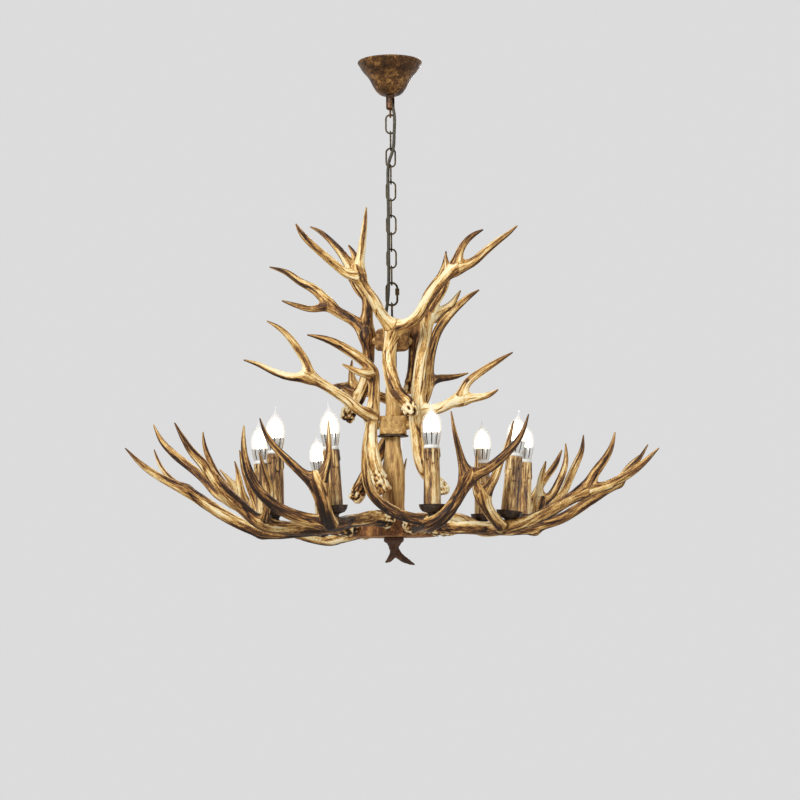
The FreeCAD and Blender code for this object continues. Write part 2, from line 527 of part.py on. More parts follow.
def make_stem():
    top, end = hub_bottom + hub_wall + stem_end, drum_bottom - stem_end
    tube = disc(stem_r, end, top - end)
    save("stem_tube", tube.cut(disc(stem_bore_r, end - 1, top - end + 2)))
    bore = stem_r + FIT
    save("stem_nuts",
         nut(stem_r + 5, hub_bottom + hub_wall + GAP, nut_height, bore),
         nut(stem_r + 5, drum_top - drum_wall - GAP - nut_height, nut_height, bore))

    low = collar_top + GAP
    high = collar_top + upper_wood_length
    r = upper_wood_r
    save("upper_column", turned([(bore, low), (r, low), (r - 1, low + 18), (r + 0.5, high - 20),
                                 (r - 1.5, high - 4), (r - 4, high), (bore, high)]))
    high, low = collar_bottom - GAP - flange_thick - GAP, drum_top + GAP
    height = high - low
    t, w = lower_wood_top_r, lower_wood_r
    save("lower_column", turned([(bore, low), (w - 1, low), (w, low + 0.2 * height),
                                 (w, low + 0.55 * height), (t + 4, low + 0.72 * height),
                                 (t + 0.5, low + 0.88 * height), (t, high), (bore, high)]))


def collar_block(grow):
    """The square collar with cut corners. Grown, it is the room another piece must leave."""
    half, low, high = collar_half + grow, collar_bottom - grow, collar_top + grow
    box = Part.makeBox(2 * half, 2 * half, high - low, Vector(-half, -half, low))
    upright = [e for e in box.Edges if e.BoundBox.ZLength > 1]
    return box.makeChamfer(collar_corner, upright)


def make_collar():
    box = collar_block(0)
    rims = [e for e in box.Edges if e.BoundBox.ZLength < 0.01]
    box = box.makeChamfer(1.5, rims)
    box = box.cut(disc(stem_r + FIT, collar_bottom - 1, collar_height + 2))
    for azimuth in collar_bolt_azimuths.values():
        box = box.cut(bolt_hole(azimuth, stem_r + 3, 2 * collar_half, collar_middle))
    save("collar", box)
    low = collar_bottom - GAP - flange_thick
    save("collar_flange", disc(flange_r, low, flange_thick).cut(disc(stem_r + FIT, low - 1,
                                                                     flange_thick + 2)))


def make_drum():
    r, inner = drum_r, drum_r - drum_wall
    drum = turned([(inner, drum_bottom), (r - 1, drum_bottom), (r, drum_bottom + 1),
                   (r, drum_top - 2.5), (r - 2.5, drum_top), (stem_r + FIT, drum_top),
                   (stem_r + FIT, drum_top - drum_wall), (inner, drum_top - drum_wall)])
    for limbs in lower_antlers.values():
        azimuth, up = root_of(limbs)
        z = drum_middle + up
        drum = drum.cut(rod(peg_r + FIT, compass(azimuth, inner - 2, z), compass(azimuth, r + 1, z)))
    z = drum_bottom + bracket_height / 2
    drum = drum.cut(rod(bolt_r / 2 + FIT, compass(bracket_azimuth, inner - 2, z),
                        compass(bracket_azimuth, r + 2, z)))
    save("drum", drum)
    bore = disc(stem_r + FIT, drum_bottom - 1, plate_thick + 2)
    save("drum_plate", disc(inner - GAP, drum_bottom, plate_thick).cut(bore))
    length, width, height = connector_size
    corner = Vector(connector_from_axis, -width / 2, drum_bottom + plate_thick + GAP)
    save("wire_connector", Part.makeBox(length, width, height, corner))

    shell = disc(r + GAP + bracket_thick, drum_bottom, bracket_height)
    shell = shell.cut(disc(r + GAP, drum_bottom - 1, bracket_height + 2))
    window = Part.makeBox(bracket_width, 2 * r, bracket_height,
                          Vector(-bracket_width / 2, -2 * r, drum_bottom))
    window.rotate(Vector(), UP, bracket_azimuth)
    pin = rod(bolt_r / 2, compass(bracket_azimuth, inner + 1, z),
              compass(bracket_azimuth, r + 3, z))
    save("drum_bracket", shell.common(window).fuse(pin))


def make_finial():
    top = drum_bottom - GAP
    cap, neck, drop = finial_cap_r, finial_neck_r, finial_neck_drop
    body = turned([(0, top - drop), (neck, top - drop), (neck, top - 0.82 * drop),
                   (0.7 * cap, top - 0.55 * drop), (cap, top - 0.3 * drop), (cap, top - 1),
                   (cap - 1, top), (0, top)])
    hooks = [[(0, 0, -0.7 * drop, neck - 0.5), (0, 1, -drop - 4, 8), (-3, 2, -drop - 12, 6.5),
              (-9, 3, -drop - 19, 4.5), (-16, 4, -drop - 24, 1.5)],
             [(0, 0, -0.7 * drop, neck - 0.5), (3, 0, -drop - 4, 8.5), (12, -1, -drop - 14, 7),
              (24, -3, -drop - 22, 5), (38, -5, -drop - 29, 1.5)]]
    for points in hooks:
        body = body.fuse(limb([(Vector(x, y, top + z), r) for x, y, z, r in points]))
    save("finial", body.cut(disc(stem_r + FIT, drum_bottom - stem_end - GAP, stem_end + 1)))


# ---- antlers ----


def ring_place(right, front, up, radius):
    """A lower antler's point, stretched so that it still reaches from the drum to its candle."""
    reach = math.hypot(right, front)
    drum_move, ring_move = drum_r - DRAWN_DRUM_R, candle_ring_r - DRAWN_RING_R
    part = min(max((reach - DRAWN_DRUM_R) / (DRAWN_RING_R - DRAWN_DRUM_R), 0), 1)
    moved = reach + drum_move + (ring_move - drum_move) * part
    scale = moved / reach
    return Vector(right * scale, -front * scale, up + drum_middle), radius


def root_of(limbs):
    """Azimuth and height of an antler's end at the drum."""
    right, front, up, _ = limbs[0][0]
    return math.degrees(math.atan2(right, front)), up


def with_longer_root(points, extra):
    """The same limb, begun a little earlier so that its carrier can shape its end."""
    start, radius = points[0]
    back = start - points[1][0]
    back.normalize()
    return [(start + back * extra, radius)] + points[1:]


def round_head(radius, azimuth, wall_r, z):
    """A screw's head on the inside of a round wall."""
    head = rod(radius, compass(azimuth, wall_r - bolt_head_height, z),
               compass(azimuth, wall_r + 1, z))
    return head.common(disc(wall_r, z - radius - 1, 2 * radius + 2))


def make_lower_antlers():
    pegs = []
    room = disc(drum_r + GAP, drum_middle - 30, 60)
    for k, (name, limbs) in enumerate(lower_antlers.items()):
        moved = [[ring_place(*p) for p in points] for points in limbs]
        moved[0] = with_longer_root(moved[0], 5)
        body = fused_limbs(moved).cut(room)
        azimuth, up = root_of(limbs)
        z = drum_middle + up
        end = drum_r + peg_in_antler
        body = body.cut(rod(peg_r + FIT, compass(azimuth, drum_r - 1, z),
                            compass(azimuth, end + 1, z)))
        body = body.cut(candle_placed(candle_seat(), k))
        head = round_head(peg_r + 3, azimuth, drum_r - drum_wall - GAP, z)
        start = compass(azimuth, drum_r - drum_wall - bolt_head_height, z)
        pegs.append(rod(peg_r, start, compass(azimuth, end, z)).fuse(head))
        save(name, body)
    save("drum_screws", *pegs)


def make_bolted(antlers, azimuths, outward, middle, room, inner, group):
    """Antlers that stand beside the hub or the collar, each on a shouldered bolt."""
    bolts = []
    for name, limbs in antlers.items():
        azimuth = azimuths[name]
        shift = compass(azimuth, outward, middle)
        moved = [[(Vector(x, -front, up) + shift, r) for x, front, up, r in points]
                 for points in limbs]
        body = fused_limbs(moved)
        line = rod(0.2, compass(azimuth, inner, middle), compass(azimuth, inner + 80, middle))
        out = compass(azimuth, 1)
        near = min(v.Point.dot(out) for v in line.common(body).Vertexes)
        flat = near + 1.2
        body = body.cut(rod(bolt_shoulder_r + GAP, compass(azimuth, flat - 12, middle),
                            compass(azimuth, flat, middle)))
        end = flat + bolt_in_antler
        body = body.cut(bolt_hole(azimuth, flat - 1, end + 1, middle))
        shoulder = rod(bolt_shoulder_r, compass(azimuth, inner + 1, middle),
                       compass(azimuth, flat - GAP, middle)).cut(room)
        bolt = rod(bolt_r, compass(azimuth, inner - 1, middle), compass(azimuth, end, middle))
        bolt = bolt.fuse(shoulder)
        if group == "hub_bolts":
            bolt = bolt.fuse(round_head(bolt_head_r, azimuth, inner, middle))
        bolts.append(bolt)
        save(name, body)
    save(group, *bolts)


# ---- candles, each drawn upright on the point where its ferrule stands on the antler ----


def dish_height(k):
    """How far the dish's underside is above the candle's seat."""
    _, drop, _, seat = candles[k]
    return first_dish_above_drum - drop - seat


def candle_placed(shape, k):
    azimuth, _, lean, seat = candles[k]
    turn = FreeCAD.Rotation(Vector(0, 1, 0), lean)
    place = FreeCAD.Placement(compass(azimuth, candle_ring_r, drum_middle + seat), turn)
    moved = shape.copy()
    moved.Placement = place.multiply(moved.Placement)
    return moved


def candle_seat():
    """What an antler loses to a candle: a flat pocket and the post's hole."""
    pocket = disc(ferrule_r + 1, 0, 20)
    return pocket.fuse(disc(post_r + FIT, -post_in_antler - GAP, post_in_antler + 1))


def ferrule(k):
    r, high = ferrule_r, dish_height(k) - GAP
    bore = post_r + FIT
    return turned([(bore, GAP), (r, GAP), (r, 2), (r - 1.3, 3), (r - 1.3, high - 2), (r, high - 1),
                   (r, high), (bore, high)])


def drip_dish(k):
    z, w, d, base = dish_height(k), dish_wall, dish_depth, dish_base_r
    outer = [(post_r + FIT, z), (base, z), (0.74 * dish_r, z + 0.2 * d),
             (0.92 * dish_r, z + 0.55 * d), (dish_r, z + d)]
    inner = [(dish_r - w, z + d), (0.92 * dish_r - w, z + 0.58 * d),
             (0.74 * dish_r - 0.5 * w, z + 0.2 * d + w), (base - 0.4 * w, z + w),
             (post_r + FIT, z + w)]
    return turned(outer + inner)


def candle_post(k):
    tube = disc(post_r, -post_in_antler, post_in_antler + dish_height(k) + post_top)
    return tube.cut(disc(post_bore_r, -post_in_antler - 1, post_in_antler + 120))


def sleeve_foot(k):
    return dish_height(k) + dish_wall + 0.2 * dish_depth


def candle_sleeve(k):
    low = sleeve_foot(k)
    high = dish_height(k) + dish_wall + sleeve_length
    r, top, w = sleeve_r, sleeve_top_r, sleeve_wall
    return turned([(r - w, low), (r, low), (r, low + 20), (top, high), (top - w, high),
                   (r - w, low + 20)])


def holder_top(k):
    return dish_height(k) + dish_wall + sleeve_length - holder_below_top


def lamp_holder(k):
    high = holder_top(k)
    low = high - holder_length
    r, rim = holder_r, sleeve_top_r - sleeve_wall - GAP
    body = turned([(0, low), (r - 2, low), (r, low + 4), (r, high - 6), (rim, high - 4),
                   (rim, high), (0, high)])
    body = body.cut(disc(cap_r + RUN_FIT, high - cap_length - 2, cap_length + 3))
    post_end = dish_height(k) + post_top
    return body.cut(disc(post_r + FIT, low - 1, post_end + GAP - low + 1))


def bulb(k):
    """Screw cap, collar ring, tapered metal collar and a flame of frosted glass, as one piece."""
    z = holder_top(k) + holder_below_top + GAP
    cap = turned([(0, z - cap_length), (cap_r - 3, z - cap_length), (cap_r, z - cap_length + 3),
                  (cap_r, z + 1), (0, z + 1)])
    ring = turned([(0, z), (ring_r - 1, z), (ring_r, z + 1), (ring_r, z + ring_height),
                   (0, z + ring_height)])
    z += ring_height
    collar = turned([(0, z), (fluted_bottom_r, z), (fluted_top_r, z + fluted_height),
                     (0, z + fluted_height)])
    z += fluted_height
    g, h = glass_r, glass_height
    line = [(fluted_top_r, z), (g, z + 0.13 * h), (0.91 * g, z + 0.3 * h), (0.66 * g, z + 0.48 * h),
            (0.36 * g, z + 0.65 * h), (0.18 * g, z + 0.8 * h), (0.09 * g, z + 0.93 * h), (0.03 * g, z + h)]
    glass = turned_smooth(line, [(0, z + h), (0, z)])
    return cap.fuse(ring).fuse(collar).fuse(glass)


def make_candles():
    kinds = {"drip_dishes": drip_dish, "dish_ferrules": ferrule, "candle_posts": candle_post,
             "candle_sleeves": candle_sleeve, "lamp_holders": lamp_holder}
    for name, kind in kinds.items():
        save(name, *[candle_placed(kind(k), k) for k in range(len(candles))])
    for k in range(len(candles)):
        save("bulb_%d" % (k + 1), candle_placed(bulb(k), k))


made = {}
os.makedirs("parts", exist_ok=True)
make_ceiling()
make_canopy()
make_hang_collar()
make_chain()
make_cord()
make_hub()
make_stem()
make_collar()
make_drum()
make_finial()
make_lower_antlers()
make_bolted(hub_antlers, hub_bolt_azimuths, hub_r - DRAWN_HUB_R, hub_middle,
            disc(hub_r + GAP, hub_bottom, hub_height), hub_r - hub_wall - GAP, "hub_bolts")
make_bolted(collar_antlers, collar_bolt_azimuths, collar_half - DRAWN_COLLAR_HALF, collar_middle,
            collar_block(GAP), stem_r + 4, "collar_bolts")
make_candles()
print("nodes: %d, drum's underside %.1f below the ceiling" % (len(made), -drum_bottom))
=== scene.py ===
import json
import math
import bpy
import numpy as np
from mathutils import Matrix, Vector


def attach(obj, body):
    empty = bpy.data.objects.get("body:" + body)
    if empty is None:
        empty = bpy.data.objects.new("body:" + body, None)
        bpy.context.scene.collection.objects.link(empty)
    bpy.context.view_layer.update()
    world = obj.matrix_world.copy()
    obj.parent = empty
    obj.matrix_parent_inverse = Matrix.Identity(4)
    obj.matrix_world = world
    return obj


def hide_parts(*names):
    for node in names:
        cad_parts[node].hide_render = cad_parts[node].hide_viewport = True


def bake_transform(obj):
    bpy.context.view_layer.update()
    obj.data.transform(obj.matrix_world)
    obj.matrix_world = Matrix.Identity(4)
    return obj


# The looks of the antler chandelier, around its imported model. Metres, +Z up, front toward -Y.
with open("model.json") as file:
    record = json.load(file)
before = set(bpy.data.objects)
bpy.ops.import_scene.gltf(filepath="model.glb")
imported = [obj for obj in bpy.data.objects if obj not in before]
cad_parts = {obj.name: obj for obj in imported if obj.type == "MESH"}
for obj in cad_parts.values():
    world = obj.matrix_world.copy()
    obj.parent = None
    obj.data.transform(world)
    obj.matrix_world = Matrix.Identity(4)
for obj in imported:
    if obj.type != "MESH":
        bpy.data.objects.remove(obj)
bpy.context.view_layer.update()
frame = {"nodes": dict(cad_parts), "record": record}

# ---- camera ----
CAMERA_PLACE = (0, -4.204, -1.017)
CAMERA_LENS = 103.14
CAMERA_PITCH, CAMERA_YAW, CAMERA_ROLL = 5.207, -0.182, -0.495

# ---- sizes shared with the CAD, in metres ----
DRUM_MIDDLE, HUB_MIDDLE, COLLAR_MIDDLE = -0.8655, -0.5227, -0.6815
CANDLE_RING_R = 0.25
FIRST_DISH, DISH_WALL, DISH_DEPTH = 0.013, 0.0012, 0.015
SLEEVE_R, SLEEVE_TOP_R, SLEEVE_WALL, SLEEVE_LENGTH = 0.0157, 0.0137, 0.0018, 0.1098
GAP = 0.0003
CAP_R, CAP_LENGTH = 0.0069, 0.020
RING_R, RING_HEIGHT = 0.014, 0.006
FLUTED_BOTTOM_R, FLUTED_TOP_R, FLUTED_HEIGHT = 0.0125, 0.017, 0.022
GLASS_R, GLASS_HEIGHT = 0.0175, 0.058

# Candles: azimuth in degrees, how far the dish hangs below the first one in mm, lean to the right
# in degrees, and the seat's height above the drum's middle in mm.
candles = [
    (15.5, 0, 0, 5.5), (54, 8, 6, -6), (106, 6, 2, 1), (137, 0, 0, 7), (180, 0, 0, 6),
    (-148, 19, -4.5, -13), (-107, 4, -3.5, 1), (-57, 0, 0, 5), (-24, 0, -3, 6),
]

# The flex beside the chain, in mm: right, front and height.
flex_route = [
    (0, 0, -55), (0, 0, -73), (6.6, 4.6, -92), (8, 5.5, -111), (6.8, 5.7, -137),
    (5.7, 5.6, -167), (-5.5, 5.6, -193), (-5.6, 5.2, -238), (-4.9, 5.5, -295),
    (-5.5, 5.1, -350), (-5.2, 5.6, -405), (-7, 6.5, -450), (-13, 8, -482), (-14.5, 9, -512),
]
FLEX_R, FLEX_SPLIT, FLEX_AROUND = 0.003, -0.120, 20

# Antlers, as in the CAD: each limb is a list of (right, front, up, radius) in mm, up from the
# middle height of the piece that carries it. The first limb is the beam.
lower_antlers = {
    "lower_antler_1": [
        [(29, 76, -1, 13), (34, 89, -1, 17), (38, 102, -2, 13), (50, 160, -7, 12.5), (62, 215, -6, 13),
         (66, 240, -5, 13), (80, 254, 1, 12), (101, 258, 24, 11.5), (112, 263, 42, 11), (122, 267, 59, 11),
         (129, 269, 75, 11.5)],
        [(129, 269, 73, 8.5), (167, 270, 90, 9), (191, 270, 110, 7.5), (211, 270, 130, 6),
         (223, 270, 149, 4.3), (234, 270, 181, 1.2)],
        [(127, 268, 70, 8.5), (120, 273, 92, 8), (114, 277, 116, 5.8), (109, 280, 136, 4.8),
         (104, 283, 159, 3.3), (100, 285, 186, 1.2)],
        [(58, 228, 0, 9), (8, 236, 12, 9.5), (-23, 245, 31, 9.3), (-39, 252, 49, 8.8), (-47, 258, 77, 8),
         (-49, 262, 115, 6), (-46, 266, 149, 4), (-42, 268, 176, 1.2)],
    ],
    "lower_antler_2": [
        [(67, 49, -3, 13), (77, 56, -4, 17), (87, 63, -6, 13), (140, 102, -8, 11.5), (202, 147, -10, 11.4),
         (260, 165, 10, 11), (295, 174, 29, 10.5), (325, 182, 47, 10.5), (336, 184, 52, 10.5)],
        [(334, 184, 50, 8), (356, 193, 87, 8.3), (371, 197, 106, 7), (383, 200, 129, 4.5),
         (389, 200, 154, 1.2)],
        [(334, 184, 51, 8), (370, 188, 59, 8.5), (402, 186, 74, 7.5), (429, 184, 92, 6.5),
         (448, 182, 108, 4.5), (468, 180, 127, 1.2)],
        [(190, 158, -8, 10), (172, 175, 11, 10.5), (160, 180, 31, 10.5), (156, 184, 48, 11)],
        [(157, 183, 45, 8), (144, 190, 60, 6), (146, 190, 95, 3.8), (147, 190, 126, 1.2)],
        [(157, 183, 44, 8), (179, 192, 79, 8), (186, 192, 100, 6.5), (198, 192, 126, 5),
         (206, 192, 152, 3.3), (212, 192, 176, 1.2)],
    ],
    "lower_antler_3": [
        [(80, -20, -2, 13), (92, -23, -3, 17), (105, -26, -4, 13), (170, -45, -5, 11.5), (240, -69, -6, 10),
         (275, -66, 2, 10), (313, -58, 14, 10.3), (350, -48, 36, 9.5), (387, -36, 60, 8.7),
         (415, -26, 78, 7.8), (430, -18, 96, 6.3), (450, -10, 116, 4.5), (469, -2, 146, 1.2)],
        [(418, -30, 76, 6), (436, -38, 109, 4), (458, -42, 129, 1.2)],
        [(262, -72, -8, 9), (271, -110, 32, 8.5), (276, -113, 50, 8.5)],
        [(276, -113, 48, 6.5), (275, -112, 75, 6.3), (282, -112, 104, 5), (288, -112, 124, 1.2)],
        [(275, -113, 44, 6.5), (296, -118, 56, 7.5), (309, -122, 77, 7.5), (318, -122, 95, 7),
         (327, -126, 125, 5), (327, -128, 158, 1.2)],
    ],
    "lower_antler_4": [
        [(57, -59, 6, 14), (67, -69, 10, 18), (76, -79, 14, 15), (112, -115, 16, 13.5), (148, -155, 7, 13),
         (170, -183, -3, 12.5), (215, -203, 2, 11.5), (262, -214, 22, 10.5), (300, -220, 48, 9.5),
         (325, -225, 65, 8.5), (340, -232, 94, 7.7), (354, -238, 124, 7), (367, -243, 152, 5),
         (371, -248, 183, 1.2)],
        [(240, -209, 10, 9), (270, -203, 62, 7.5), (288, -200, 90, 6.5), (314, -200, 126, 5.5),
         (325, -200, 151, 1.2)],
    ],
    "lower_antler_5": [
        [(0, -82, -1, 13), (0, -95, -1, 17), (0, -108, -2, 13), (2, -170, -7, 12.5), (0, -250, -4, 12.5),
         (-3, -320, 10, 11), (-4, -375, 40, 10)],
        [(-4, -372, 38, 8), (-8, -405, 85, 7), (-8, -425, 130, 1.2)],
        [(-4, -370, 36, 8), (6, -415, 70, 7.5), (12, -450, 110, 5), (12, -468, 150, 1.2)],
        [(6, -264, -2, 9), (14, -286, 22, 8), (13, -280, 83, 5.5), (26, -280, 142, 1.2)],
    ],
    "lower_antler_6": [
        [(-43, -69, -3, 13), (-50, -80, -5, 17), (-57, -91, -8, 13), (-88, -143, -13, 11.5),
         (-132, -212, -20, 9.6), (-180, -236, -7.2, 10.1), (-228, -250, 12, 10.3), (-266, -256, 34, 10),
         (-302, -257, 66, 9)],
        [(-300, -257, 63, 7.2), (-343, -255, 110, 7.2), (-357, -255, 138, 6), (-368, -255, 170, 4.3),
         (-371, -255, 196, 1.2)],
        [(-301, -256, 64, 6.5), (-317, -232, 99, 4.5), (-336, -222, 120, 1.2)],
        [(-290, -255, 56, 7), (-296, -242, 83, 6), (-301, -240, 113, 4.5), (-308, -240, 137, 1.2)],
    ],
    "lower_antler_7": [
        [(-79, -24, -1, 13), (-91, -28, -2, 17), (-104, -32, -3, 13), (-165, -51, -6, 11.5),
         (-239, -74, -7.5, 11), (-278, -76, 5, 11), (-316, -76, 25, 11), (-359, -73, 54, 11),
         (-389, -70, 73, 9.5), (-418, -68, 87, 8), (-464, -62, 116, 6), (-499, -55, 151, 1.2)],
        [(-385, -74, 74, 6), (-412, -92, 90, 5), (-437, -98, 118, 4), (-450, -102, 151, 1.2)],
        [(-246, -80, -8, 9), (-256, -118, 39, 7.5), (-272, -118, 80, 6.5), (-284, -118, 118, 4.8),
         (-290, -118, 150, 1.2)],
    ],
    "lower_antler_8": [
        [(-69, 45, -3, 13), (-80, 52, -3, 17), (-90, 58, -4, 13), (-145, 94, -7, 12.5),
         (-205, 134, -5, 12.5), (-234, 152, 1, 12), (-272, 158, 33, 11), (-300, 162, 60, 10.5),
         (-320, 165, 85, 10), (-336, 168, 107, 8.5), (-355, 171, 127, 7), (-370, 174, 151, 5),
         (-385, 177, 179, 1.2)],
        [(-285, 152, 38, 8), (-312, 138, 53, 8), (-338, 126, 83, 8), (-362, 118, 103, 7.5),
         (-392, 110, 127, 7), (-416, 104, 153, 5), (-430, 100, 182, 1.2)],
        [(-228, 152, 4, 7), (-222, 182, 26, 6.5), (-215, 186, 60, 6), (-221, 188, 77, 5.5),
         (-228, 188, 99, 4.5), (-235, 188, 124, 1.2)],
    ],
    "lower_antler_9": [
        [(-7, 83, 8, 12), (-14, 94, 9, 15), (-33, 108, 11, 14), (-60, 138, 6, 12), (-82, 178, 2, 11.5),
         (-102, 228, -4, 12.5), (-127, 243, -1, 12), (-169, 252, 9, 11), (-203, 256, 26, 10),
         (-229, 259, 49, 9.3), (-247, 261, 81, 8.5), (-256, 263, 114, 6), (-258, 263, 140, 4.3),
         (-257, 263, 166, 1.2)],
        [(-110, 245, -2, 11), (-118, 272, 18, 12), (-125, 278, 49, 14), (-132, 281, 71, 13)],
        [(-129, 280, 64, 10), (-150, 283, 76, 8.5), (-174, 286, 98, 7.5), (-198, 289, 121, 6.5),
         (-212, 290, 138, 5.5), (-221, 291, 155, 3.5), (-228, 291, 176, 1.2)],
        [(-128, 279, 60, 9.5), (-118, 286, 82, 8), (-111, 288, 106, 6), (-110, 288, 135, 4.5),
         (-111, 288, 171, 1.2)],
    ],
}
hub_antlers = {
    "hub_antler_front": [
        [(33, 74, -146, 9), (33, 73, -134, 12), (27, 70, -122, 11.5), (12, 67, -111, 12),
         (-4, 59, -68, 11.5), (-6, 49, -25, 11.5), (0, 49, 8, 12), (3, 51, 17, 12)],
        [(3, 51, 14, 9.5), (-22, 69, 42, 9.5), (-32, 79, 64, 9), (-47, 85, 82, 8.5), (-60, 92, 109, 8.5),
         (-62, 95, 119, 8)],
        [(-61, 94, 114, 6.5), (-54, 100, 153, 6.5), (-50, 103, 183, 5), (-47, 104, 208, 3.5),
         (-45, 105, 230, 1.2)],
        [(-59, 92, 106, 7.5), (-78, 98, 108, 7.5), (-103, 105, 127, 7), (-134, 112, 153, 6),
         (-165, 120, 185, 4), (-172, 122, 198, 1.2)],
        [(3, 51, 12, 10), (28, 60, 21, 10), (48, 72, 36, 9.5), (62, 80, 61, 9), (76, 88, 80, 9),
         (96, 95, 102, 8.5), (108, 98, 113, 8.5), (119, 100, 120, 8.5)],
        [(114, 99, 116, 7), (118, 102, 132, 7), (125, 104, 152, 6), (138, 106, 170, 5), (151, 107, 180, 4),
         (166, 108, 187, 1.2)],
        [(117, 100, 119, 7.5), (138, 105, 123, 7.5), (173, 112, 150, 6), (194, 118, 166, 5),
         (212, 122, 178, 3.5), (227, 125, 191, 1.2)],
    ],
    "hub_antler_left": [
        [(-88, -49, -143, 10), (-82, -45, -133, 13), (-73, -40, -117, 11), (-61, -35, -97, 10.5),
         (-48, -27, -62, 10), (-44, -21, -22, 10), (-45, -19, 2, 10.5), (-47, -20, 15, 10.5)],
        [(-47, -20, 11, 8.5), (-70, -28, 39, 9), (-106, -38, 61, 8.5), (-127, -48, 85, 8.5),
         (-144, -52, 103, 8), (-172, -58, 118, 6.5), (-197, -62, 137, 5), (-230, -66, 148, 1.2)],
        [(-118, -42, 72, 7), (-147, -38, 63, 5.5), (-178, -40, 71, 4.5), (-206, -44, 81, 1.2)],
        [(-47, -20, 9, 9), (-46, -30, 52, 9.5), (-47, -40, 86, 9), (-60, -55, 100, 8.5),
         (-81, -75, 152, 7.5), (-100, -85, 183, 6.5), (-118, -92, 204, 5), (-138, -98, 222, 3.5),
         (-154, -103, 230, 1.2)],
        [(-72, -68, 130, 6), (-68, -80, 171, 4.5), (-81, -85, 191, 1.2)],
        [(-66, -37, -105, 6), (-86, -32, -89, 5), (-104, -30, -77, 1.2)],
    ],
    "hub_antler_right": [
        [(31, -50, -92, 9.5), (34, -44, -82, 12.5), (37, -38, -66, 10.5), (40, -28, -40, 10),
         (41, -24, -15, 10), (43, -22, 8, 10.5), (47, -24, 23, 10.5)],
        [(46, -24, 19, 8.5), (59, -45, 63, 9), (72, -60, 99, 8.5), (94, -68, 121, 7), (118, -72, 135, 4),
         (128, -74, 143, 1.2)],
        [(88, -66, 115, 6), (100, -78, 150, 5), (103, -84, 178, 1.2)],
        [(46, -24, 17, 8.5), (55, -62, 43, 9), (74, -110, 53, 8), (100, -150, 68, 6.5),
         (125, -175, 93, 1.2)],
        [(82, -125, 58, 6), (86, -155, 85, 5), (84, -185, 113, 1.2)],
    ],
}
collar_antlers = {
    "collar_antler_left": [
        [(-15, 38, -124, 13), (-26, 40, -101, 12), (-35, 36, -64, 11), (-40, 20, -23, 10), (-40, 17, 0, 10),
         (-36, 18, 29, 10), (-34, 15, 75, 9.5), (-38, 17, 101, 9.3), (-49, 20, 115, 8.5), (-77, 25, 135, 8),
         (-102, 28, 150, 7), (-127, 30, 160, 5), (-156, 32, 166, 1.2)],
        [(-40, 20, 96, 7), (-47, 30, 92, 6.5), (-71, 35, 100, 5), (-92, 37, 111, 1.2)],
        [(-38, 21, 16, 9), (-58, 35, 24, 9), (-85, 45, 46, 8.5), (-102, 50, 57, 8), (-127, 55, 73, 8),
         (-154, 62, 88, 7.5)],
        [(-152, 61, 86, 6.5), (-156, 66, 110, 7), (-170, 70, 133, 6.5), (-186, 74, 156, 5.5),
         (-205, 78, 174, 4), (-227, 80, 186, 1.2)],
        [(-150, 61, 84, 6.5), (-193, 70, 86, 6.5), (-218, 76, 95, 5.5), (-242, 81, 107, 4),
         (-269, 85, 115, 1.2)],
    ],
    "collar_antler_right": [
        [(90, 0, -127, 11), (88, 2, -119, 14), (74, 8, -102, 12.5), (58, 15, -82, 12.5), (47, 18, -26, 13),
         (44, 20, 0, 12.5), (46, 20, 47, 12), (53, 22, 120, 10.5), (63, 25, 175, 9.5), (66, 27, 208, 9)],
        [(66, 27, 204, 7.2), (73, 30, 217, 8), (84, 32, 232, 7.5), (94, 35, 246, 7), (99, 38, 259, 6.5),
         (103, 40, 273, 6), (101, 40, 295, 4.5), (99, 40, 315, 1.2)],
        [(65, 26, 196, 7), (76, 20, 201, 7.5), (89, 17, 209, 7), (106, 15, 218, 6.5), (117, 12, 233, 4.5),
         (127, 10, 249, 1.2)],
        [(52, 22, 26, 10), (69, 28, 26, 9), (92, 32, 31, 8.5), (110, 38, 41, 8), (127, 43, 45, 7.5)],
        [(124, 42, 44, 6.5), (132, 48, 69, 7), (166, 55, 96, 6), (192, 60, 112, 4.5), (219, 65, 127, 1.2)],
        [(122, 42, 44, 6.5), (158, 50, 47, 6), (177, 55, 51, 4.5), (192, 60, 60, 1.2)],
    ],
    "collar_antler_back": [
        [(-74, -79, -132, 10), (-68, -75, -123, 13), (-56, -68, -97, 11.5), (-32, -56, -57, 11),
         (-8, -46, -18, 10.5), (0, -44, 0, 10.5), (18, -46, 22, 10.5), (26, -48, 30, 10.5)],
        [(25, -48, 28, 9), (47, -47, 37, 9.5), (62, -44, 60, 9), (66, -42, 99, 9), (73, -40, 146, 8.5),
         (86, -38, 182, 8), (112, -36, 215, 7), (146, -35, 245, 4.5), (163, -35, 256, 1.2)],
        [(66, -43, 84, 7), (88, -56, 93, 6.5), (113, -60, 95, 5), (142, -62, 103, 1.2)],
        [(24, -48, 26, 9), (8, -68, 45, 9), (-35, -85, 67, 8), (-70, -92, 82, 7), (-78, -94, 107, 5),
         (-76, -95, 133, 1.2)],
        [(-66, -91, 80, 6), (-105, -110, 85, 5), (-125, -118, 83, 1.2)],
    ],
}

# How brown each antler is, in the order above, from 0, cream, to 1, nearly black: at its root and
# at its tips, where the darkening is painted shade, away from the candle bulbs.
antler_tones = [
    (0.50, 0.56), (0.36, 0.58), (0.24, 0.50), (0.10, 0.44), (0.10, 0.38), (0.14, 0.46), (0.22, 0.44),
    (0.36, 0.58), (0.50, 0.56), (0.16, 0.44), (0.28, 0.60), (0.42, 0.62), (0.08, 0.46), (-0.02, 0.36),
    (0.34, 0.56)
]


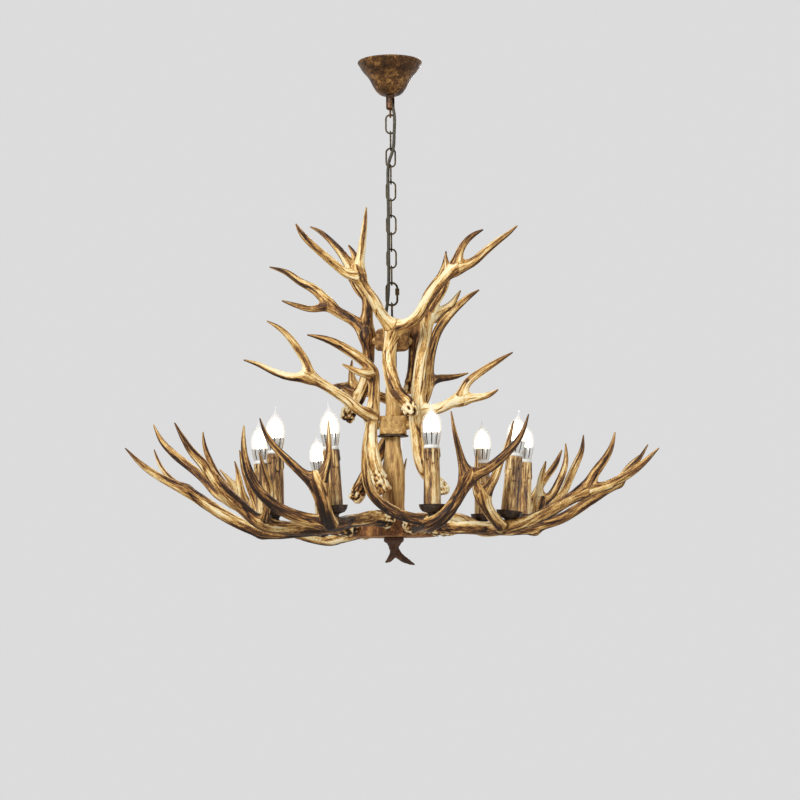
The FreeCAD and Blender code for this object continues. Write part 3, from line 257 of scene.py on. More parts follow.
# ---- numbers over points ----
def lattice(x, y, z, seed):
    """A repeatable value from -1 to 1 for each whole-numbered place."""
    h = (x * 374761393 + y * 668265263 + z * 1440662683 + seed * 1274126177) & 0xFFFFFFFF
    h = ((h ^ (h >> 13)) * 1274126177) & 0xFFFFFFFF
    return ((h ^ (h >> 16)) & 0xFFFF) / 32767.5 - 1


def noise(points, size, seed=0):
    """Smooth noise from -1 to 1 with lumps about size across."""
    p = np.asarray(points, float) / size
    low = np.floor(p)
    f = p - low
    f = f * f * (3 - 2 * f)
    i = low.astype(np.int64)
    total = 0
    for dx in (0, 1):
        for dy in (0, 1):
            for dz in (0, 1):
                share = (np.abs(1 - dx - f[..., 0]) * np.abs(1 - dy - f[..., 1])
                         * np.abs(1 - dz - f[..., 2]))
                total = total + share * lattice(i[..., 0] + dx, i[..., 1] + dy, i[..., 2] + dz, seed)
    return total


def ease(low, high, x):
    t = np.clip((x - low) / (high - low), 0, 1)
    return t * t * (3 - 2 * t)


def through(knots, values, at):
    """A smooth curve through values at knots, read at the given places."""
    knots, values = np.asarray(knots, float), np.asarray(values, float)
    step = np.diff(knots)
    slope = np.diff(values, axis=0) / (step[:, None] if values.ndim == 2 else step)
    if len(knots) == 2:
        lean = np.stack([slope[0], slope[0]])
    else:
        share = step[:-1] / (step[:-1] + step[1:])
        share = share[:, None] if values.ndim == 2 else share
        inner = slope[:-1] * (1 - share) + slope[1:] * share
        lean = np.concatenate([slope[:1], inner, slope[-1:]])
    j = np.clip(np.searchsorted(knots, at, side="right") - 1, 0, len(step) - 1)
    h = step[j]
    t = (at - knots[j]) / h
    if values.ndim == 2:
        t, h = t[:, None], h[:, None]
    return ((2 * t ** 3 - 3 * t ** 2 + 1) * values[j] + (t ** 3 - 2 * t ** 2 + t) * h * lean[j]
            + (3 * t ** 2 - 2 * t ** 3) * values[j + 1] + (t ** 3 - t ** 2) * h * lean[j + 1])


def unit(v):
    return v / np.maximum(np.linalg.norm(v, axis=-1, keepdims=True), 1e-12)


# ---- meshes ----
def new_piece(name, points, faces, material):
    mesh = bpy.data.meshes.new(name)
    mesh.from_pydata([tuple(p) for p in np.asarray(points, float)], [], faces)
    mesh.update()
    mesh.polygons.foreach_set("use_smooth", [True] * len(mesh.polygons))
    mesh.materials.append(material)
    obj = bpy.data.objects.new(name, mesh)
    bpy.context.scene.collection.objects.link(obj)
    return obj


def ring_faces(rings, around, first=0, ends=True):
    """Quads between closed rings of points, with a flat face on each end."""
    faces = []
    for i in range(rings - 1):
        for j in range(around):
            k = (j + 1) % around
            a, b = first + i * around, first + (i + 1) * around
            faces.append((a + j, a + k, b + k, b + j))
    if ends:
        last = first + (rings - 1) * around
        faces.append(tuple(first + j for j in reversed(range(around))))
        faces.append(tuple(last + j for j in range(around)))
    return faces


def seamless(rings, around, first=0):
    """Quads for rings whose last joins the first, as round a wall and back inside it."""
    faces = ring_faces(rings, around, first, ends=False)
    last = first + (rings - 1) * around
    return faces + [(last + j, last + (j + 1) % around, first + (j + 1) % around, first + j)
                    for j in range(around)]


def carried(along):
    """Two directions square to a line at each of its points, that don't twist along it."""
    tangent = unit(np.gradient(along, axis=0))
    start = np.cross(tangent[0], (0.31, 0.87, 0.38))
    sides = [unit(start)]
    for t in tangent[1:]:
        sides.append(unit(sides[-1] - t * np.dot(sides[-1], t)))
    sides = np.array(sides)
    return sides, np.cross(tangent, sides)


def tube_points(along, radius, around):
    u, v = carried(along)
    angle = np.arange(around) * 2 * math.pi / around
    ring = (np.cos(angle)[None, :, None] * u[:, None, :] + np.sin(angle)[None, :, None] * v[:, None, :])
    radius = np.broadcast_to(radius, len(along))
    return (along[:, None, :] + ring * radius[:, None, None]).reshape(-1, 3)


def keep_values(obj, **values):
    """Stores numbers, or triples of them, on the mesh's points for its material to read."""
    for name, value in values.items():
        value = np.asarray(value, np.float32)
        kind, key = ("FLOAT_VECTOR", "vector") if value.ndim == 2 else ("FLOAT", "value")
        attribute = obj.data.attributes.new(name, kind, "POINT")
        attribute.data.foreach_set(key, value.ravel())


def triples(rows, key):
    values = np.zeros(len(rows) * 3)
    rows.foreach_get(key, values)
    return values.reshape(-1, 3)


def points_of(mesh):
    return triples(mesh.vertices, "co")


def normals_of(mesh):
    return triples(mesh.vertex_normals, "vector")


def put_points(mesh, co):
    mesh.vertices.foreach_set("co", np.asarray(co, float).ravel())
    mesh.update()


def remesh(obj, size):
    """One even skin round everything in the mesh."""
    bpy.context.view_layer.objects.active = obj
    obj.data.remesh_voxel_size = size
    bpy.ops.object.voxel_remesh()
    obj.data.polygons.foreach_set("use_smooth", [True] * len(obj.data.polygons))


# ---- materials ----
def material(name):
    made = bpy.data.materials.new(name)
    made.use_nodes = True
    return made, made.node_tree, made.node_tree.nodes["Principled BSDF"]


def fill(tree, made, into):
    """Sets a node's inputs, as plain values or as other nodes' outputs."""
    for key, value in into.items():
        if isinstance(value, bpy.types.NodeSocket):
            tree.links.new(value, made.inputs[key])
        else:
            made.inputs[key].default_value = value


def node(tree, kind, into=None, **settings):
    """A shader node, with its inputs in into, by name or by number."""
    made = tree.nodes.new("ShaderNode" + kind)
    for key, value in settings.items():
        setattr(made, key, value)
    fill(tree, made, into or {})
    return made


def attribute(tree, name, output="Fac"):
    return node(tree, "Attribute", attribute_name=name).outputs[output]


def place_in_object(tree):
    return node(tree, "TexCoord").outputs["Object"]


def speckle(tree, where, scale, detail=3.0, rough=0.55, warp=0.0):
    return node(tree, "TexNoise", {"Vector": where, "Scale": scale, "Detail": detail,
                                   "Roughness": rough, "Distortion": warp}).outputs["Fac"]


def sum_of(tree, start, *terms):
    """start plus each (output, factor, middle) as factor * (output - middle); middle is 0.5 if left out."""
    total = start
    for output, factor, middle in (term if len(term) == 3 else (*term, 0.5) for term in terms):
        grown = node(tree, "Math", {0: output, 1: factor, 2: -factor * middle},
                     operation="MULTIPLY_ADD").outputs[0]
        total = node(tree, "Math", {0: grown, 1: total}, operation="ADD").outputs[0]
    return total


def ramp(tree, value, stops):
    made = node(tree, "ValToRGB", {"Fac": value})
    elements = made.color_ramp.elements
    while len(elements) < len(stops):
        elements.new(0.5)
    for element, (place, colour) in zip(elements, stops):
        element.position = place
        element.color = (*colour, 1)
    return made.outputs["Color"]


def bump(tree, bsdf, height, distance):
    made = node(tree, "Bump", {"Height": height, "Distance": distance, "Strength": 1.0})
    tree.links.new(made.outputs["Normal"], bsdf.inputs["Normal"])


GLOW = 1.9
ANTLER_COLOURS = [(0.0, (0.018, 0.007, 0.002)), (0.16, (0.075, 0.030, 0.010)),
                  (0.34, (0.205, 0.088, 0.026)), (0.52, (0.46, 0.235, 0.062)),
                  (0.70, (0.74, 0.46, 0.150)), (0.86, (0.90, 0.69, 0.33)), (1.0, (0.95, 0.83, 0.54))]


def antler_material():
    made, tree, bsdf = material("antler")
    flow = attribute(tree, "flow", "Vector")
    # Broad dark and light stripes along each limb: partly a stain, partly painted side shade.
    sides = speckle(tree, flow, 0.8, 1.0, 0.4)
    streaks = speckle(tree, flow, 3.0, 4.0, 0.6)
    fine = speckle(tree, flow, 10.0, 3.0, 0.6)
    patches = speckle(tree, place_in_object(tree), 22.0, 2.0)
    # The tone attribute carries the antler's own tone, with painted shade under the limbs and towards the
    # tips.
    value = sum_of(tree, 0.81, (attribute(tree, "tone"), -0.88, 0.0), (streaks, 1.75),
                   (fine, 1.10), (patches, 0.40), (sides, 1.9),
                   (attribute(tree, "groove"), 0.50, 0.0))
    fill(tree, bsdf, {"Base Color": ramp(tree, value, ANTLER_COLOURS), "Specular IOR Level": 0.28,
                      "Roughness": sum_of(tree, 0.56, (streaks, -0.3))})
    bump(tree, bsdf, sum_of(tree, 0.0, (streaks, 1.0), (fine, 0.6)), 0.0008)
    return made


def bark_material(name, stops, lift, stretch, scale, rough, depth):
    """Rough wood or cast bark, from dark cracks to light ridges."""
    made, tree, bsdf = material(name)
    long = node(tree, "Mapping", {"Vector": place_in_object(tree), "Scale": (1, 1, stretch)})
    coarse = speckle(tree, long.outputs[0], scale, 5.0, 0.65, 0.4)
    fine = speckle(tree, long.outputs[0], scale * 4.5, 4.0, 0.7)
    value = sum_of(tree, lift, (coarse, 1.1), (fine, 0.7),
                   (attribute(tree, "groove"), 0.16, 0.0))
    fill(tree, bsdf, {"Base Color": ramp(tree, value, stops), "Roughness": rough})
    bump(tree, bsdf, sum_of(tree, 0.0, (coarse, 1.0), (fine, 0.6)), depth)
    return made


def metal_material(name, dark, light, rough, scale, depth, metallic=1.0, warp=0.0):
    made, tree, bsdf = material(name)
    where = place_in_object(tree)
    patches = speckle(tree, where, scale, 4.0, 0.65, warp)
    grain = speckle(tree, where, scale * 9, 2.0, 0.5)
    fill(tree, bsdf, {"Base Color": ramp(tree, patches, [(0.36, dark), (0.66, light)]),
                      "Roughness": sum_of(tree, rough, (patches, -0.35), (grain, 0.25)),
                      "Metallic": metallic})
    bump(tree, bsdf, sum_of(tree, 0.0, (patches, 0.4), (grain, 1.0)), depth)
    return made


def hammered_bronze():
    made, tree, bsdf = material("hammered_bronze")
    where = place_in_object(tree)
    dents = node(tree, "TexVoronoi", {"Vector": where, "Scale": 210.0}, feature="SMOOTH_F1")
    patches = speckle(tree, where, 34.0, 5.0, 0.7)
    grain = speckle(tree, where, 420.0, 3.0, 0.6)
    value = sum_of(tree, 0.5, (patches, 2.0), (grain, 0.8),
                   (dents.outputs["Distance"], -0.45, 0.4))
    colours = [(0.15, (0.022, 0.008, 0.002)), (0.5, (0.105, 0.043, 0.009)), (0.85, (0.42, 0.21, 0.06))]
    fill(tree, bsdf, {"Base Color": ramp(tree, value, colours), "Metallic": 0.55,
                      "Roughness": sum_of(tree, 0.42, (grain, 0.3))})
    bump(tree, bsdf, sum_of(tree, 0.0, (dents.outputs["Distance"], 1.0, 0.5), (grain, 0.4)), 0.0009)
    return made


def plain_material(name, colour, rough, scale=400.0, spread=0.12, metallic=0.0):
    """A moulded or plated surface: one colour with a slight mottle and grain."""
    made, tree, bsdf = material(name)
    grain = speckle(tree, place_in_object(tree), scale, 3.0, 0.6)
    dark = tuple(c * (1 - spread) for c in colour)
    light = tuple(min(1.0, c * (1 + spread)) for c in colour)
    fill(tree, bsdf, {"Base Color": ramp(tree, grain, [(0.35, dark), (0.65, light)]),
                      "Roughness": sum_of(tree, rough, (grain, 0.2)), "Metallic": metallic})
    bump(tree, bsdf, grain, 0.00012)
    return made


def wax_material():
    made, tree, bsdf = material("candle_wax")
    flow = attribute(tree, "flow", "Vector")
    streaks = speckle(tree, flow, 1.6, 5.0, 0.62)
    fine = speckle(tree, flow, 6.0, 3.0, 0.6)
    # Broad dark and light stripes along the sleeve: partly the wax's colour, partly painted side shade.
    sides = speckle(tree, flow, 0.55, 1.0, 0.4)
    value = sum_of(tree, 0.39, (streaks, 2.3), (fine, 1.2), (sides, 2.0),
                   (attribute(tree, "groove"), 0.5, 0.0))
    stops = [(0.0, (0.045, 0.018, 0.005)), (0.28, (0.23, 0.105, 0.030)), (0.55, (0.56, 0.33, 0.10)),
             (0.8, (0.80, 0.59, 0.27)), (1.0, (0.90, 0.77, 0.48))]
    fill(tree, bsdf, {"Base Color": ramp(tree, value, stops), "Subsurface Weight": 0.08,
                      "Roughness": sum_of(tree, 0.45, (streaks, -0.25)),
                      "Subsurface Radius": (0.004, 0.002, 0.001)})
    bump(tree, bsdf, sum_of(tree, 0.0, (streaks, 1.0), (fine, 0.6)), 0.0007)
    return made


def fluted_material():
    made, tree, bsdf = material("fluted_metal")
    # Near-black in the slots between the ribs: painted shade and dark reflection there.
    slot_shade = attribute(tree, "groove")
    grain = speckle(tree, place_in_object(tree), 900.0, 2.0)
    value = sum_of(tree, 0.0, (slot_shade, 1.0, 0.0), (grain, 0.25))
    stops = [(0.15, (0.03, 0.028, 0.026)), (0.5, (0.30, 0.29, 0.27)), (0.8, (0.86, 0.85, 0.82))]
    fill(tree, bsdf, {"Base Color": ramp(tree, value, stops), "Metallic": 1.0, "Roughness": 0.2})
    bump(tree, bsdf, grain, 0.00005)
    return made


def glass_material():
    made, tree, bsdf = material("bulb_glass")
    ripple = speckle(tree, place_in_object(tree), 160.0, 2.0)
    colours = [(0.3, (0.86, 0.87, 0.88)), (0.7, (0.97, 0.97, 0.96))]
    fill(tree, bsdf, {"Base Color": ramp(tree, ripple, colours), "Roughness": 0.06, "Alpha": 0.22,
                      "IOR": 1.5})
    bump(tree, bsdf, ripple, 0.0001)
    return made


def glow_material():
    made, tree, bsdf = material("bulb_glow")
    haze = speckle(tree, place_in_object(tree), 90.0, 2.0)
    colours = [(0.3, (1.0, 0.74, 0.42)), (0.7, (1.0, 0.90, 0.68))]
    fill(tree, bsdf, {"Emission Color": ramp(tree, haze, colours), "Emission Strength": GLOW,
                      "Base Color": (0.95, 0.93, 0.88, 1), "Roughness": 0.6})
    return made


METALS = {
    "strap_steel": plain_material("zinc_steel", (0.55, 0.56, 0.57), 0.34, 260.0, 0.14, 1.0),
    "bronze": hammered_bronze(),
    "chain_brass": metal_material("aged_brass", (0.008, 0.005, 0.002), (0.125, 0.084, 0.029), 0.36, 190.0,
                                  0.0003, 0.85),
    "dark_metal": metal_material("dark_brown_metal", (0.022, 0.014, 0.010), (0.085, 0.052, 0.032),
                                 0.48, 120.0, 0.0003, 0.6),
    "connector": plain_material("connector_plastic", (0.72, 0.70, 0.64), 0.45),
    "holder": plain_material("black_plastic", (0.035, 0.033, 0.030), 0.4),
}
BARK = {}
for name, form, stops in (  # lift, stretch along Z, scale, roughness and depth, then the colours
        ("hub", (0.50, 1.0, 130.0, 0.8, 0.0016),
         [(0.1, (0.028, 0.011, 0.004)), (0.4, (0.17, 0.070, 0.018)), (0.62, (0.44, 0.23, 0.066)),
          (0.9, (0.74, 0.50, 0.20))]),
        ("column", (0.60, 0.16, 120.0, 0.6, 0.0012),
         [(0.1, (0.045, 0.018, 0.005)), (0.36, (0.25, 0.115, 0.030)), (0.6, (0.60, 0.36, 0.11)),
          (0.9, (0.86, 0.66, 0.32))]),
        ("drum", (0.47, 0.55, 95.0, 0.72, 0.0018),
         [(0.05, (0.026, 0.009, 0.004)), (0.38, (0.17, 0.058, 0.015)), (0.58, (0.44, 0.19, 0.050)),
          (0.85, (0.66, 0.38, 0.12)), (1.0, (0.80, 0.58, 0.27))]),
        ("finial", (0.50, 0.7, 110.0, 0.68, 0.0014),
         [(0.1, (0.016, 0.006, 0.003)), (0.5, (0.085, 0.032, 0.012)), (0.8, (0.20, 0.085, 0.030)),
          (1.0, (0.38, 0.20, 0.08))]),
        ("collar", (0.58, 1.0, 230.0, 0.55, 0.0010),
         [(0.1, (0.060, 0.024, 0.007)), (0.42, (0.33, 0.165, 0.043)), (0.68, (0.60, 0.37, 0.115)),
          (1.0, (0.84, 0.63, 0.30))])):
    BARK[name] = bark_material(name + "_bark", stops, *form)
ANTLER = antler_material()


# ---- the camera, then the flex ----
def make_camera():
    data = bpy.data.cameras.new("camera")
    data.sensor_width, data.lens = 36, CAMERA_LENS
    data.clip_start, data.clip_end = 0.05, 200
    camera = bpy.data.objects.new("camera", data)
    turn = (Matrix.Rotation(math.radians(CAMERA_YAW), 4, "Z")
            @ Matrix.Rotation(math.radians(90 + CAMERA_PITCH), 4, "X")
            @ Matrix.Rotation(math.radians(CAMERA_ROLL), 4, "Z"))
    camera.matrix_world = Matrix.Translation(CAMERA_PLACE) @ turn
    bpy.context.scene.collection.objects.link(camera)
    bpy.context.scene.camera = camera


def make_flex():
    curve = bpy.data.curves.new("flex_line", "CURVE")
    curve.dimensions, curve.resolution_u = "3D", 24
    spline = curve.splines.new("NURBS")
    spline.points.add(len(flex_route) - 1)
    for point, (right, front, up) in zip(spline.points, flex_route):
        point.co = (right / 1000, -front / 1000, up / 1000, 1)
    spline.order_u = 3
    spline.use_endpoint_u = True
    holder = bpy.data.objects.new("flex_line", curve)
    bpy.context.scene.collection.objects.link(holder)
    line = bpy.data.meshes.new_from_object(holder)
    along = points_of(line)
    bpy.data.objects.remove(holder)
    sheath = metal_material("flex_sheath", (0.016, 0.012, 0.004), (0.070, 0.053, 0.018), 0.5, 150.0,
                            0.0003, 0.0)
    points = tube_points(along, FLEX_R, FLEX_AROUND).reshape(len(along), FLEX_AROUND, 3)
    cut = int(np.argmin(np.abs(along[:, 2] - FLEX_SPLIT)))
    parts = []
    for name, some in (("flex_upper", points[:cut + 1]), ("flex_lower", points[cut:])):
        obj = new_piece(name, some.reshape(-1, 3), ring_faces(len(some), FLEX_AROUND), sheath)
        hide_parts("flex")
        parts.append(obj)
    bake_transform(parts[0])
    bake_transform(parts[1])


make_camera()
make_flex()


# ---- antlers ----
LIMB_STEP, LIMB_AROUND, LINE_PASSES, RADIUS_PASSES, THINNEST = 0.005, 14, 5, 3, 0.0008
REACH, AT_ONCE = 0.045, 3000  # how far round a limb points are looked at, and how many together
ANTLER_VOXEL, WEB, FARTHEST_STEP, SKIN_PASSES = 0.0015, 0.0055, 0.003, 3
# How much darker the antlers are on faces that look down: painted shade under the limbs.
UNDERSIDE_SHADE = 0.22


def evened(values, passes):
    """A row of values with its small wobbles taken out and its ends kept."""
    values = np.array(values, float)
    for _ in range(passes):
        values[1:-1] = 0.25 * values[:-2] + 0.5 * values[1:-1] + 0.25 * values[2:]
    return values


class Limb:
    """A limb's line, radii and the directions round it, close together."""

    def __init__(self, points, flat_start, scale):
        place = np.array([p[:3] for p in points], float)
        run = np.concatenate([[0], np.cumsum(np.linalg.norm(np.diff(place, axis=0), axis=1))])
        count = max(3, int(run[-1] / LIMB_STEP) + 1)
        at = np.linspace(0, run[-1], count)
        self.centre = evened(through(run, place, at), LINE_PASSES)
        radius = through(run, np.array([p[3] for p in points], float), at)
        self.radius = np.maximum(evened(radius, RADIUS_PASSES), THINNEST) * scale
        self.run, self.length, self.flat = at, run[-1], flat_start
        self.u, self.v = carried(self.centre)
        self.second = run[1]

    def look(self, p):
        """For each point: distance to the limb's skin, place along it, angle round it, its radius
        there, and the direction away from it."""
        a, ab = self.centre[:-1], np.diff(self.centre, axis=0)
        ra, dr = self.radius[:-1], np.diff(self.radius)
        square = (ab * ab).sum(1)
        out = np.zeros((7, len(p)))
        out[0], out[3] = 1.0, 0.01
        low, high = self.centre.min(0) - REACH, self.centre.max(0) + REACH
        inside = np.flatnonzero(((p > low) & (p < high)).all(1))
        for start in range(0, len(inside), AT_ONCE):
            pick = inside[start:start + AT_ONCE]
            q = p[pick][:, None, :] - a
            t = np.clip((q * ab).sum(2) / square, 0, 1)
            off = q - t[..., None] * ab
            d = np.sqrt((off * off).sum(2)) - (ra + t * dr)
            j = d.argmin(1)
            rows = np.arange(len(pick))
            off, t = off[rows, j], t[rows, j]
            distance, away = d[rows, j], unit(off)
            if self.flat:
                first = unit(ab[0])
                beyond = ((a[0] - p[pick]) * first).sum(1)
                away = np.where((beyond > distance)[:, None], -first, away)
                distance = np.maximum(distance, beyond)
            out[0][pick] = distance
            out[1][pick] = self.run[j] + t * (self.run[j + 1] - self.run[j])
            out[2][pick] = np.arctan2((off * self.v[j]).sum(1), (off * self.u[j]).sum(1))
            out[3][pick] = ra[j] + t * dr[j]
            out[4:, pick] = away.T
        return out


def look_at_all(limbs, p):
    """Every limb's look at the points, the distance to their joined skin and the way out of it."""
    looks = np.array([limb.look(p) for limb in limbs])
    pull = np.exp(-np.clip(looks[:, 0], -0.03, 0.08) / WEB)
    out = unit((pull[:, None, :] * looks[:, 4:]).sum(0).T)
    return looks, -WEB * np.log(pull.sum(0)), out


def relaxed(mesh, co, passes, share):
    """The mesh's points, each moved by its share of the way to the middle of its neighbours."""
    edges = np.zeros(len(mesh.edges) * 2, np.int64)
    mesh.edges.foreach_get("vertices", edges)
    a, b = edges[::2], edges[1::2]
    count = np.bincount(edges, minlength=len(co)).astype(float)
    for _ in range(passes):
        total = np.stack([np.bincount(a, co[b, k], len(co)) + np.bincount(b, co[a, k], len(co))
                          for k in range(3)], 1)
        co = co + share * (total / count[:, None] - co)
    return co


def groove_of(look, seed):
    """Long ridges and grooves, from the place along a limb and the angle round it."""
    around, along = look[2], look[1]
    wander = 0.6 * noise(np.stack([along / 0.06, 0 * along, 0 * along + seed], 1), 1.0, seed)
    ring = np.stack([np.cos(around + wander), np.sin(around + wander)], 1)
    broad = noise(np.column_stack([ring * 1.3, along / 0.11]), 1.0, seed)
    narrow = noise(np.column_stack([ring * 2.9, along / 0.07]), 1.0, seed + 7)
    cut = 1 - 2 * np.clip(np.abs(noise(np.column_stack([ring * 1.9, along / 0.09]), 1.0, seed + 9))
                          / 0.22, 0, 1)
    return 0.40 * broad + 0.42 * narrow, np.clip(cut, 0, 1)


def make_antler(name, limbs, base, scale, number):
    drawn = []
    for i, points in enumerate(limbs):
        drawn.append(Limb([(right / 1000, -front / 1000, base + up / 1000, radius / 1000)
                           for right, front, up, radius in points], i == 0, scale))
    points, faces = [], []
    for limb in drawn:
        faces += ring_faces(len(limb.centre), LIMB_AROUND, len(points))
        points += list(tube_points(limb.centre, limb.radius, LIMB_AROUND))
    obj = new_piece(name + "_horn", points, faces, ANTLER)
    remesh(obj, ANTLER_VOXEL)
    co = points_of(obj.data)
    for _ in range(SKIN_PASSES):
        looks, total, out = look_at_all(drawn, co)
        thick = looks[looks[:, 0].argmin(0), 3, np.arange(len(co))]
        co = co - out * np.clip(total, -FARTHEST_STEP, FARTHEST_STEP)[:, None]
        co = relaxed(obj.data, co, 2, (0.5 * ease(0.0007, 0.0030, thick))[:, None])
    looks, total, out = look_at_all(drawn, co)
    co = co - out * np.clip(total, -FARTHEST_STEP, FARTHEST_STEP)[:, None]
    share = np.exp(-(looks[:, 0] - looks[:, 0].min(0)) / 0.0025)
    share = share / share.sum(0)
    ridges = [groove_of(looks[i], 31 * number + 5 * i) for i in range(len(drawn))]
    groove = sum(w * r[0] for w, r in zip(share, ridges))
    cut = sum(w * r[1] for w, r in zip(share, ridges))
    nearest, rows = looks[:, 0].argmin(0), np.arange(len(co))
    along, angle, radius = (looks[nearest, k, rows] for k in (1, 2, 3))
    length = np.array([limb.length for limb in drawn])[nearest]
    from_burr = looks[0, 1] - drawn[0].second
    burr = share[0] * np.exp(-(from_burr / 0.011) ** 2)
    pearled = share[0] * np.exp(-np.maximum(from_burr, 0) / 0.05)
    lumps = noise(co, 0.0062, number) + 0.7 * noise(co, 0.0034, number + 3)
    full = ease(0.0015, 0.0095, radius)
    lift = (0.0010 * groove - 0.0009 * cut) * full + (0.0021 * burr + 0.0005 * pearled) * lumps
    put_points(obj.data, co + out * lift[:, None])
    # Darker towards the thin tips: painted shade, away from the candle bulbs.
    tip_shade = ease(0.45, 1.0, along / length) * ease(0.0085, 0.004, radius)
    root_tone, tip_tone = antler_tones[number - 1]
    # Darker on faces that look down: painted shade under the limbs.
    underside_shade = ease(-0.1, 0.9, -normals_of(obj.data)[:, 2])
    tone = root_tone + (tip_tone - root_tone) * tip_shade + UNDERSIDE_SHADE * underside_shade - 0.30 * burr
    flow = np.column_stack([np.cos(angle), np.sin(angle), along / 0.09 + 3.7 * nearest + number])
    keep_values(obj, tone=tone, flow=flow,
                groove=groove - 1.2 * cut * full + (2.2 * burr + 0.6 * pearled) * lumps)
    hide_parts(name)
    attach(obj, "fixture")


SLOT_OF = {s["node"]: s["material_slot"] for s in frame["record"]["subparts"]}
number = 0
for group, base, scale in ((lower_antlers, DRUM_MIDDLE, 1.0), (hub_antlers, HUB_MIDDLE, 1.10),
                           (collar_antlers, COLLAR_MIDDLE, 1.10)):
    for name, limbs in group.items():
        number += 1
        make_antler(name, limbs, base, scale, number)


# ---- rough castings and wood: hub, collar, columns, drum, finial ----
def rough_copy(name, look, size, depth, lump, stretch, cut):
    """A piece with the node's own solid, its skin made uneven, mostly inwards."""
    source = frame["nodes"][name]
    mesh = source.data.copy()
    mesh.materials.clear()
    mesh.materials.append(look)
    obj = bpy.data.objects.new(name + "_rough", mesh)
    bpy.context.scene.collection.objects.link(obj)
    remesh(obj, size)
    co = points_of(obj.data)
    long = co * (1, 1, stretch)
    lumps = (noise(long, lump, 11) + 0.55 * noise(long, lump * 0.45, 12)
             + 0.3 * noise(long, lump * 0.2, 13)) / 1.85
    cracks = -np.abs(noise(long, lump * 1.3, 14))
    lift = depth * (lumps - cut) + depth * 0.8 * (cracks + 0.2)
    put_points(obj.data, co + normals_of(obj.data) * lift[:, None])
    keep_values(obj, groove=np.clip(lumps * 1.6 + (cracks + 0.3) * 0.8, -1.2, 1.2))
    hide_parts(name)
    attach(obj, "fixture")


# Voxel, depth and size of the lumps, stretch along Z (small is long grain), and how far inwards.
for node_name, bark, *form in (
        ("upper_hub", "hub", 0.0014, 0.0014, 0.006, 1.0, 0.35),
        ("upper_column", "column", 0.0012, 0.0018, 0.006, 0.12, 0.3),
        ("lower_column", "column", 0.0012, 0.0022, 0.007, 0.10, 0.3),
        ("collar", "collar", 0.0014, 0.0010, 0.007, 0.6, 0.35),
        ("drum", "drum", 0.0016, 0.0036, 0.011, 0.6, 0.35),
        ("drum_plate", "drum", 0.0015, 0.0006, 0.012, 1.0, 0.35),
        ("finial", "finial", 0.0011, 0.0010, 0.005, 0.7, 0.3),
        ("hub_bolts", "collar", 0.0010, 0.0016, 0.005, 1.0, 0.1),
        ("collar_bolts", "collar", 0.0010, 0.0016, 0.005, 1.0, 0.1)):
    rough_copy(node_name, BARK[bark], *form)


# ---- candles ----
def candle_frame(k):
    azimuth, _, lean, seat = candles[k]
    a = math.radians(azimuth)
    place = Vector((CANDLE_RING_R * math.sin(a), -CANDLE_RING_R * math.cos(a),
                    DRUM_MIDDLE + seat / 1000))
    return Matrix.Translation(place) @ Matrix.Rotation(math.radians(lean), 4, "Y")


def dish_height(k):
    return FIRST_DISH - candles[k][1] / 1000 - candles[k][3] / 1000


def placed(points, k):
    m = np.array(candle_frame(k))
    return np.asarray(points, float) @ m[:3, :3].T + m[:3, 3]


SLEEVE_RINGS, SLEEVE_AROUND, WAX_RUNS = 110, 120, 9


